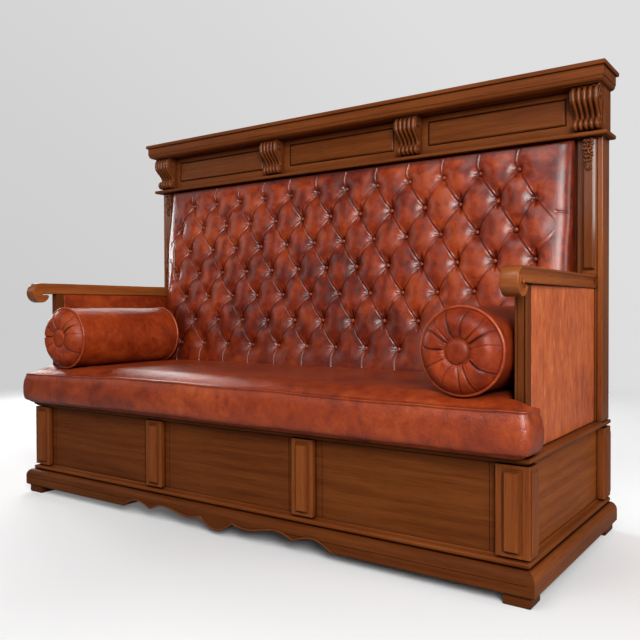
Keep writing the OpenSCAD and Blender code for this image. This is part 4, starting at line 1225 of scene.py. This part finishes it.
def build_corbels():
    parts = Parts()
    half, reeds = 0.044, 5
    # profile from the top down, then round the foot scroll
    prof = []
    for z in np.linspace(1.4086, 1.3115, 46):
        prof.append((corbel_front(z), z, 1.0))
    for t in np.linspace(0.16, 1.0, 18):
        a = PI * t
        prof.append((0.2985 - 0.0165 * math.sin(a), 1.2915 + 0.0165 * math.cos(a), 0.9))
    prof.append((0.3190, 1.2745, 0.0))
    nx = 5 * 14 + 1
    xs = np.linspace(-half, half, nx)
    for xc in (-0.950, -0.318, 0.318, 0.950):
        pts = []
        P2 = np.array([[p[0], p[1]] for p in prof])
        T = np.gradient(P2, axis=0)
        T /= np.linalg.norm(T, axis=1)[:, None]
        Nrm = np.stack([T[:, 1], -T[:, 0]], -1)  # towards the front
        Nrm = np.where(Nrm[:, :1] > 0, -Nrm, Nrm)
        for (y, z, amp), nn in zip(prof, Nrm):
            row = []
            slim = 1 - 0.085 * float(sstep(-z, -1.39, -1.325)) + 0.03 * float(sstep(-z, -1.305, -1.285))
            for x in xs:
                ph = (x + half) / (2 * half) * reeds
                f = ph - math.floor(ph)
                if ph >= reeds:
                    f = 1.0
                reed = math.sqrt(max(0.0, 1 - ((2 * f - 1) / 0.76) ** 2))
                o = (0.0078 * reed - 0.0066) * amp
                row.append((xc + x * slim, y + nn[0] * o, z + nn[1] * o))
            pts.append(row)
        G = np.array(pts)
        m = len(prof)
        parts.grid(G, flip=True)
        # side walls with a carved volute
        for sgn, col in ((-1, 0), (1, nx - 1)):
            edge = G[:, col, :]
            wall = np.stack([edge + np.array([0, t, 0]) * (0.3192 - edge[:, 1:2]) * 1.0 for t in np.linspace(0, 1, 5)], 1)
            wall[..., 0] = edge[:, None, 0]
            parts.grid(wall, flip=(sgn < 0))
            # raised rim along the outline, curling into an eye at the top
            path = []
            for (y, z, _), nn in zip(prof[2:46], Nrm[2:46]):
                slim = 1 - 0.085 * float(sstep(-z, -1.39, -1.325)) + 0.03 * float(sstep(-z, -1.305, -1.285))
                path.append((xc + sgn * half * slim, y - nn[0] * 0.0060, z - nn[1] * 0.0060))
            path = path[::-1]
            cyv, czv, rv = 0.2890, 1.3790, 0.0180
            for a in np.linspace(0, 3.6 * PI, 70):
                rr = rv * (1 - a / (4.3 * PI))
                path.append((xc + sgn * half, cyv - rr * math.cos(a), czv + rr * math.sin(a)))
            P = np.array(path)
            keepers = [0]
            for q in range(1, len(P)):
                if np.linalg.norm(P[q] - P[keepers[-1]]) > 0.0012:
                    keepers.append(q)
            v, f = tube(P[keepers], 0.0017, 8)
            parts.add(v, f)
            put_dome(parts, (xc + sgn * half, cyv, czv), (sgn, 0, 0), 0.0052, 0.0030, 20, 5)
            put_dome(parts, (xc + sgn * half * 0.945, 0.2985, 1.2915), (sgn, 0, 0), 0.0070, 0.0022, 20, 5)
        # small cap under the cornice
        def slab(x0, x1, y0, y1, z0, z1, bev=0.0012):
            c = [(x0 + bev, y0), (x1 - bev, y0), (x1, y0 + bev), (x1, y1), (x0, y1), (x0, y0 + bev)]
            v = [(x, y, z) for z in (z0, z0 + bev * 0.8, z1) for x, y in c]
            for i in range(6):
                v[i] = (v[i][0] * 1.0, v[i][1], v[i][2])
            f = [[k * 6 + i, k * 6 + (i + 1) % 6, (k + 1) * 6 + (i + 1) % 6, (k + 1) * 6 + i] for k in range(2) for i in range(6)]
            f += [[5, 4, 3, 2, 1, 0], [12, 13, 14, 15, 16, 17]]
            return v, f
        v, f = slab(xc - half - 0.0010, xc + half + 0.0010, 0.2760, 0.3192, 1.4040, 1.4088)
        parts.add(v, f)
    ob = parts.make("corbels_carved")
    modify(ob, "EDGE_SPLIT", split_angle=math.radians(48), use_edge_sharp=False)
    ob.data.materials.append(WOOD["carved"])
    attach(ob, "frame")
    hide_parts("corbels")
    return ob


build_corbels()


# ------------------------------------------------------------------ carved drops on the posts
def leaf(parts, base, direction, length, width, lift, curl, up_n, n=9, m=7):
    """A carved leaf: a folded blade with a midrib, curling off the ground."""
    d = Vector(direction).normalized()
    nn = Vector(up_n).normalized()
    side = d.cross(nn).normalized()
    b = Vector(base)
    G = []
    for i in range(n):
        t = i / (n - 1)
        w = width * (math.sin(PI * min(1.0, t * 0.92 + 0.08)) ** 0.75) * (1 - 0.25 * t) + 0.0004
        row = []
        for j in range(m):
            q = j / (m - 1) * 2 - 1
            scallop = 1 + 0.16 * math.cos(t * 5 * PI) * abs(q)
            h = lift * math.sin(PI * min(1, t * 0.8 + 0.15)) * (1 - q * q) ** 0.6
            h += 0.0009 * (1 - abs(q)) ** 3 * 0 - 0.0012 * math.exp(-(q / 0.22) ** 2) * (1 - t)
            h += curl * t * t
            p = b + d * (length * t) + side * (w * q * scallop) + nn * h
            row.append(list(p))
        G.append(row)
    G = np.array(G)
    parts.grid(G)
    # close it against the ground
    low = G.copy()
    nv = np.array(nn)
    for i in range(n):
        for j in range(m):
            off = (low[i, j] - np.array(b)) @ nv
            low[i, j] = low[i, j] - nv * (off + 0.0012)
    parts.grid(low, flip=True)
    loop = [(i, 0) for i in range(n)] + [(n - 1, j) for j in range(1, m)] + [(i, m - 1) for i in range(n - 2, -1, -1)] + [(0, j) for j in range(m - 2, 0, -1)]
    rim = np.array([[G[i, j], low[i, j]] for i, j in loop])
    parts.grid(rim, wrap_u=True)


def build_drops():
    parts = Parts()
    up_n = (0, -1, 0)
    yb = 0.3106
    rng = np.random.default_rng(12)
    for s in (-1, 1):
        xc = s * 0.9495
        z, k = 1.2515, 0
        while z > 1.160:
            f = (z - 1.160) / (1.2515 - 1.160)
            wide = 0.0115 + 0.0085 * f
            drift = 0.0030 * math.sin(k * 1.9 + s)
            for sg in (-1, 1):
                for reach, tilt, big in ((0.35, 30, 1.0), (0.75, 62, 0.85)):
                    ang = math.radians(tilt + rng.uniform(-14, 14))
                    base = (xc + drift + sg * wide * reach * 0.35, yb + 0.0004, z - rng.uniform(0, 0.005))
                    leaf(parts, base, (sg * math.sin(ang), 0, -math.cos(ang)),
                         wide * (0.80 + 0.25 * rng.uniform()) * big, 0.0034 + 0.0022 * f * big, 0.0052 + 0.0020 * rng.uniform(), 0.0018, up_n)
            leaf(parts, (xc + drift, yb, z), (0.25 * math.sin(k * 2.3 + s), 0, -1), 0.0160, 0.0040 + 0.0010 * f, 0.0078, 0.0006, up_n)
            for q in range(3):
                a = rng.uniform(0, 2 * PI)
                put_dome(parts, (xc + drift + wide * 0.55 * math.cos(a), yb - 0.0040, z - 0.006 + 0.004 * math.sin(a)), (0, -1, 0),
                         0.0022 + 0.0010 * rng.uniform(), 0.0032, 12, 5)
            z -= 0.0125
            k += 1
        leaf(parts, (xc, yb, 1.170), (0.1 * s, 0, -1), 0.0200, 0.0058, 0.0064, 0.0006, up_n, 11, 7)
        leaf(parts, (xc, yb, 1.172), (0.7, 0, -1), 0.0150, 0.0040, 0.0052, 0.0006, up_n)
        leaf(parts, (xc, yb, 1.172), (-0.7, 0, -1), 0.0150, 0.0040, 0.0052, 0.0006, up_n)
    ob = outward(parts.make("carved_drops_foliage"))
    ob.data.polygons.foreach_set("use_smooth", [True] * len(ob.data.polygons))
    modify(ob, "EDGE_SPLIT", split_angle=math.radians(60), use_edge_sharp=False)
    ob.data.materials.append(WOOD["carved"])
    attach(ob, "frame")
    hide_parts("carved_drops")
    return ob


build_drops()


# ------------------------------------------------------------------ bead along the scalloped apron
def apron(x):
    a = abs(x)
    if a < 0.068:
        return 0.019 + 0.030 * (1 - math.cos(math.radians(90 * a / 0.068)))
    if a < 0.125:
        return 0.040 + 0.009 * (1 - math.sin(math.radians(90 * (a - 0.068) / 0.057)))
    if a < 0.240:
        return 0.040 + 0.0085 * (1 - math.cos(PI * (a - 0.125) / 0.115))
    if a < 0.305:
        return 0.057 - 0.018 * (1 - math.cos(math.radians(90 * (a - 0.240) / 0.065)))
    if a < 0.372:
        return 0.039 + 0.0175 * math.sin(math.radians(90 * (a - 0.305) / 0.067))
    if a < 0.445:
        return 0.0565 - 0.0285 * (1 - math.cos(math.radians(90 * (a - 0.372) / 0.073)))
    return 0.028


def build_apron_bead():
    parts = Parts()
    xs = []
    for a, b in ((0.0, 0.068), (0.068, 0.305), (0.305, 0.4445)):
        xs += list(np.linspace(a, b, int((b - a) / 0.003) + 2))[:-1]
    xs.append(0.4445)
    xs = sorted(set([-x for x in xs] + xs))
    path = []
    for x in xs:
        path.append((x, -0.3886, apron(x) + 0.0030))
    v, f = tube(path, 0.0031, 10)
    parts.add(v, f)
    ob = outward(parts.make("apron_bead"))
    ob.data.polygons.foreach_set("use_smooth", [True] * len(ob.data.polygons))
    ob.data.materials.append(WOOD["x"])
    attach(ob, "frame")
    return ob


build_apron_bead()


# ------------------------------------------------------------------ studio
def build_stage():
    n, rad = 96, 14.0
    rr = [0.0, 1.0, 2.0, 3.0, 4.5, 7.0, rad]
    V, F = [(0, 0, 0)], []
    for r in rr[1:]:
        V += [(r * math.cos(2 * PI * i / n), r * math.sin(2 * PI * i / n), 0) for i in range(n)]
    F += [[0, 1 + i, 1 + (i + 1) % n] for i in range(n)]
    for k in range(len(rr) - 2):
        for i in range(n):
            a, b = 1 + k * n + i, 1 + k * n + (i + 1) % n
            F.append([a, a + n, b + n, b])
    ob = add_mesh("studio_floor", V, F, False)
    M = Mat("studio_floor")
    M.finish((0.80, 0.80, 0.80), 0.80, spec=0.10)
    dull = M.t.nodes.new("ShaderNodeBsdfDiffuse")
    dull.inputs["Color"].default_value = (0.30, 0.30, 0.30, 1)
    length = M.t.nodes.new("ShaderNodeVectorMath")
    length.operation = "LENGTH"
    M.t.links.new(M.co, length.inputs[0])
    split = M.t.nodes.new("ShaderNodeSeparateXYZ")
    M.t.links.new(M.co, split.inputs[0])

    def span(value, lo, hi, out_lo, out_hi):
        m = M.t.nodes.new("ShaderNodeMapRange")
        m.interpolation_type = "SMOOTHSTEP"
        for k, v in (("From Min", lo), ("From Max", hi), ("To Min", out_lo), ("To Max", out_hi)):
            m.inputs[k].default_value = v
        M.t.links.new(value, m.inputs["Value"])
        return m.outputs[0]
    # painted light: the floor glows, for the camera, behind the sofa, on its left and on its right, lifting the sofa's
    # shadow there, and less again far to the left
    away = M.math("MULTIPLY", split.outputs["X"], -1.0)
    lift = M.math("ADD", span(split.outputs["Y"], 0.10, 0.95, 0.015, GLOW_BACK), span(away, -0.1, 0.8, 0.0, GLOW_LEFT))
    lift = M.math("SUBTRACT", lift, span(away, 2.3, 3.5, 0.0, 0.12))
    right = M.math("MULTIPLY", span(split.outputs["X"], -0.5, 0.3, 0.0, 1.0), span(split.outputs["Y"], -0.15, 0.60, 0.0, GLOW_RIGHT))
    lift = M.math("ADD", lift, right)
    glow = M.t.nodes.new("ShaderNodeEmission")
    glow.inputs["Color"].default_value = (1, 1, 1, 1)
    M.t.links.new(lift, glow.inputs["Strength"])
    lit = M.t.nodes.new("ShaderNodeAddShader")
    M.t.links.new(M.b.outputs[0], lit.inputs[0])
    M.t.links.new(glow.outputs[0], lit.inputs[1])
    # little of its light comes back up at the sofa
    seen = M.t.nodes.new("ShaderNodeLightPath")
    add = M.t.nodes.new("ShaderNodeMixShader")
    M.t.links.new(seen.outputs["Is Camera Ray"], add.inputs[0])
    M.t.links.new(dull.outputs[0], add.inputs[1])
    M.t.links.new(lit.outputs[0], add.inputs[2])
    # and fades into the empty backdrop
    clear = M.t.nodes.new("ShaderNodeBsdfTransparent")
    mix = M.t.nodes.new("ShaderNodeMixShader")
    M.t.links.new(span(length.outputs["Value"], FADE_FROM, FADE_TO, 0.0, 1.0), mix.inputs[0])
    M.t.links.new(add.outputs[0], mix.inputs[1])
    M.t.links.new(clear.outputs[0], mix.inputs[2])
    M.t.links.new(mix.outputs[0], M.out.inputs[0])
    ob.data.materials.append(M.m)


GLOW_BACK, GLOW_LEFT, GLOW_RIGHT, FADE_FROM, FADE_TO = 0.19, 0.14, 0.22, 3.3, 5.0
build_stage()

WORLD_FILL = 0.085
world = bpy.data.worlds.new("studio")
scene.world = world
world.use_nodes = True
wt = world.node_tree
wt.nodes.clear()
wo = wt.nodes.new("ShaderNodeOutputWorld")
bg = wt.nodes.new("ShaderNodeBackground")
tc = wt.nodes.new("ShaderNodeTexCoord")
sp = wt.nodes.new("ShaderNodeSeparateXYZ")
wt.links.new(tc.outputs["Generated"], sp.inputs[0])


def world_math(op, a, b, clamp=False):
    n = wt.nodes.new("ShaderNodeMath")
    n.operation, n.use_clamp = op, clamp
    for k, v in enumerate((a, b)):
        if isinstance(v, float):
            n.inputs[k].default_value = v
        else:
            wt.links.new(v, n.inputs[k])
    return n.outputs[0]


# backdrop a little brighter to the right and upwards
shade = world_math("MULTIPLY", world_math("ADD", sp.outputs["X"], 0.856), 0.188)
rise_up = world_math("MULTIPLY", world_math("MAXIMUM", sp.outputs["Z"], 0.0), 0.125)
shade = world_math("ADD", world_math("ADD", shade, rise_up), 0.607)
shade = world_math("MAXIMUM", world_math("MINIMUM", shade, 0.735), 0.55)
wt.links.new(shade, bg.inputs["Strength"])
bg.inputs["Color"].default_value = (1.0, 1.0, 1.0, 1)
fillbg = wt.nodes.new("ShaderNodeBackground")
fillbg.inputs["Color"].default_value = (1.0, 1.0, 1.0, 1)
fillbg.inputs["Strength"].default_value = WORLD_FILL
lp = wt.nodes.new("ShaderNodeLightPath")
ms = wt.nodes.new("ShaderNodeMixShader")
wt.links.new(lp.outputs["Is Camera Ray"], ms.inputs[0])
wt.links.new(fillbg.outputs[0], ms.inputs[1])
wt.links.new(bg.outputs[0], ms.inputs[2])
wt.links.new(ms.outputs[0], wo.inputs[0])


def area_light(name, at, aim, size, power, color=(1, 1, 1)):
    d = bpy.data.lights.new(name, "AREA")
    d.shape = "RECTANGLE"
    d.size, d.size_y = size
    d.energy = power
    d.color = color
    o = bpy.data.objects.new(name, d)
    scene.collection.objects.link(o)
    o.location = at
    o.rotation_mode = "QUATERNION"
    o.rotation_quaternion = (Vector(aim) - Vector(at)).to_track_quat("-Z", "Y")
    o.visible_camera = False
    return o


area_light("key_right_front", (3.1, -3.2, 2.3), (0.2, 0.0, 0.7), (1.6, 1.9), 215)
area_light("side_right", (3.9, 0.08, 1.66), (0.9, 0.08, 1.66), (0.9, 0.80), 26)
area_light("front_soft", (-0.6, -4.5, 2.6), (0.0, 0.0, 0.7), (2.0, 2.0), 16)
area_light("left_soft", (-3.8, -2.2, 2.4), (-0.2, 0.0, 0.7), (2.0, 2.0), 16)
area_light("rim_back_left", (-3.6, 2.6, 2.3), (-0.4, 0.0, 0.6), (2.6, 2.2), 112)
area_light("side_left", (-3.9, 0.45, 1.45), (-0.9, 0.25, 1.05), (0.6, 0.9), 22)
area_light("top_front", (0.3, -3.0, 4.2), (0.0, -0.4, 0.3), (3.0, 2.0), 70)

scene.view_settings.view_transform = "Standard"
scene.view_settings.look = "None"
scene.view_settings.exposure = 0.0
scene.view_settings.gamma = 1.0
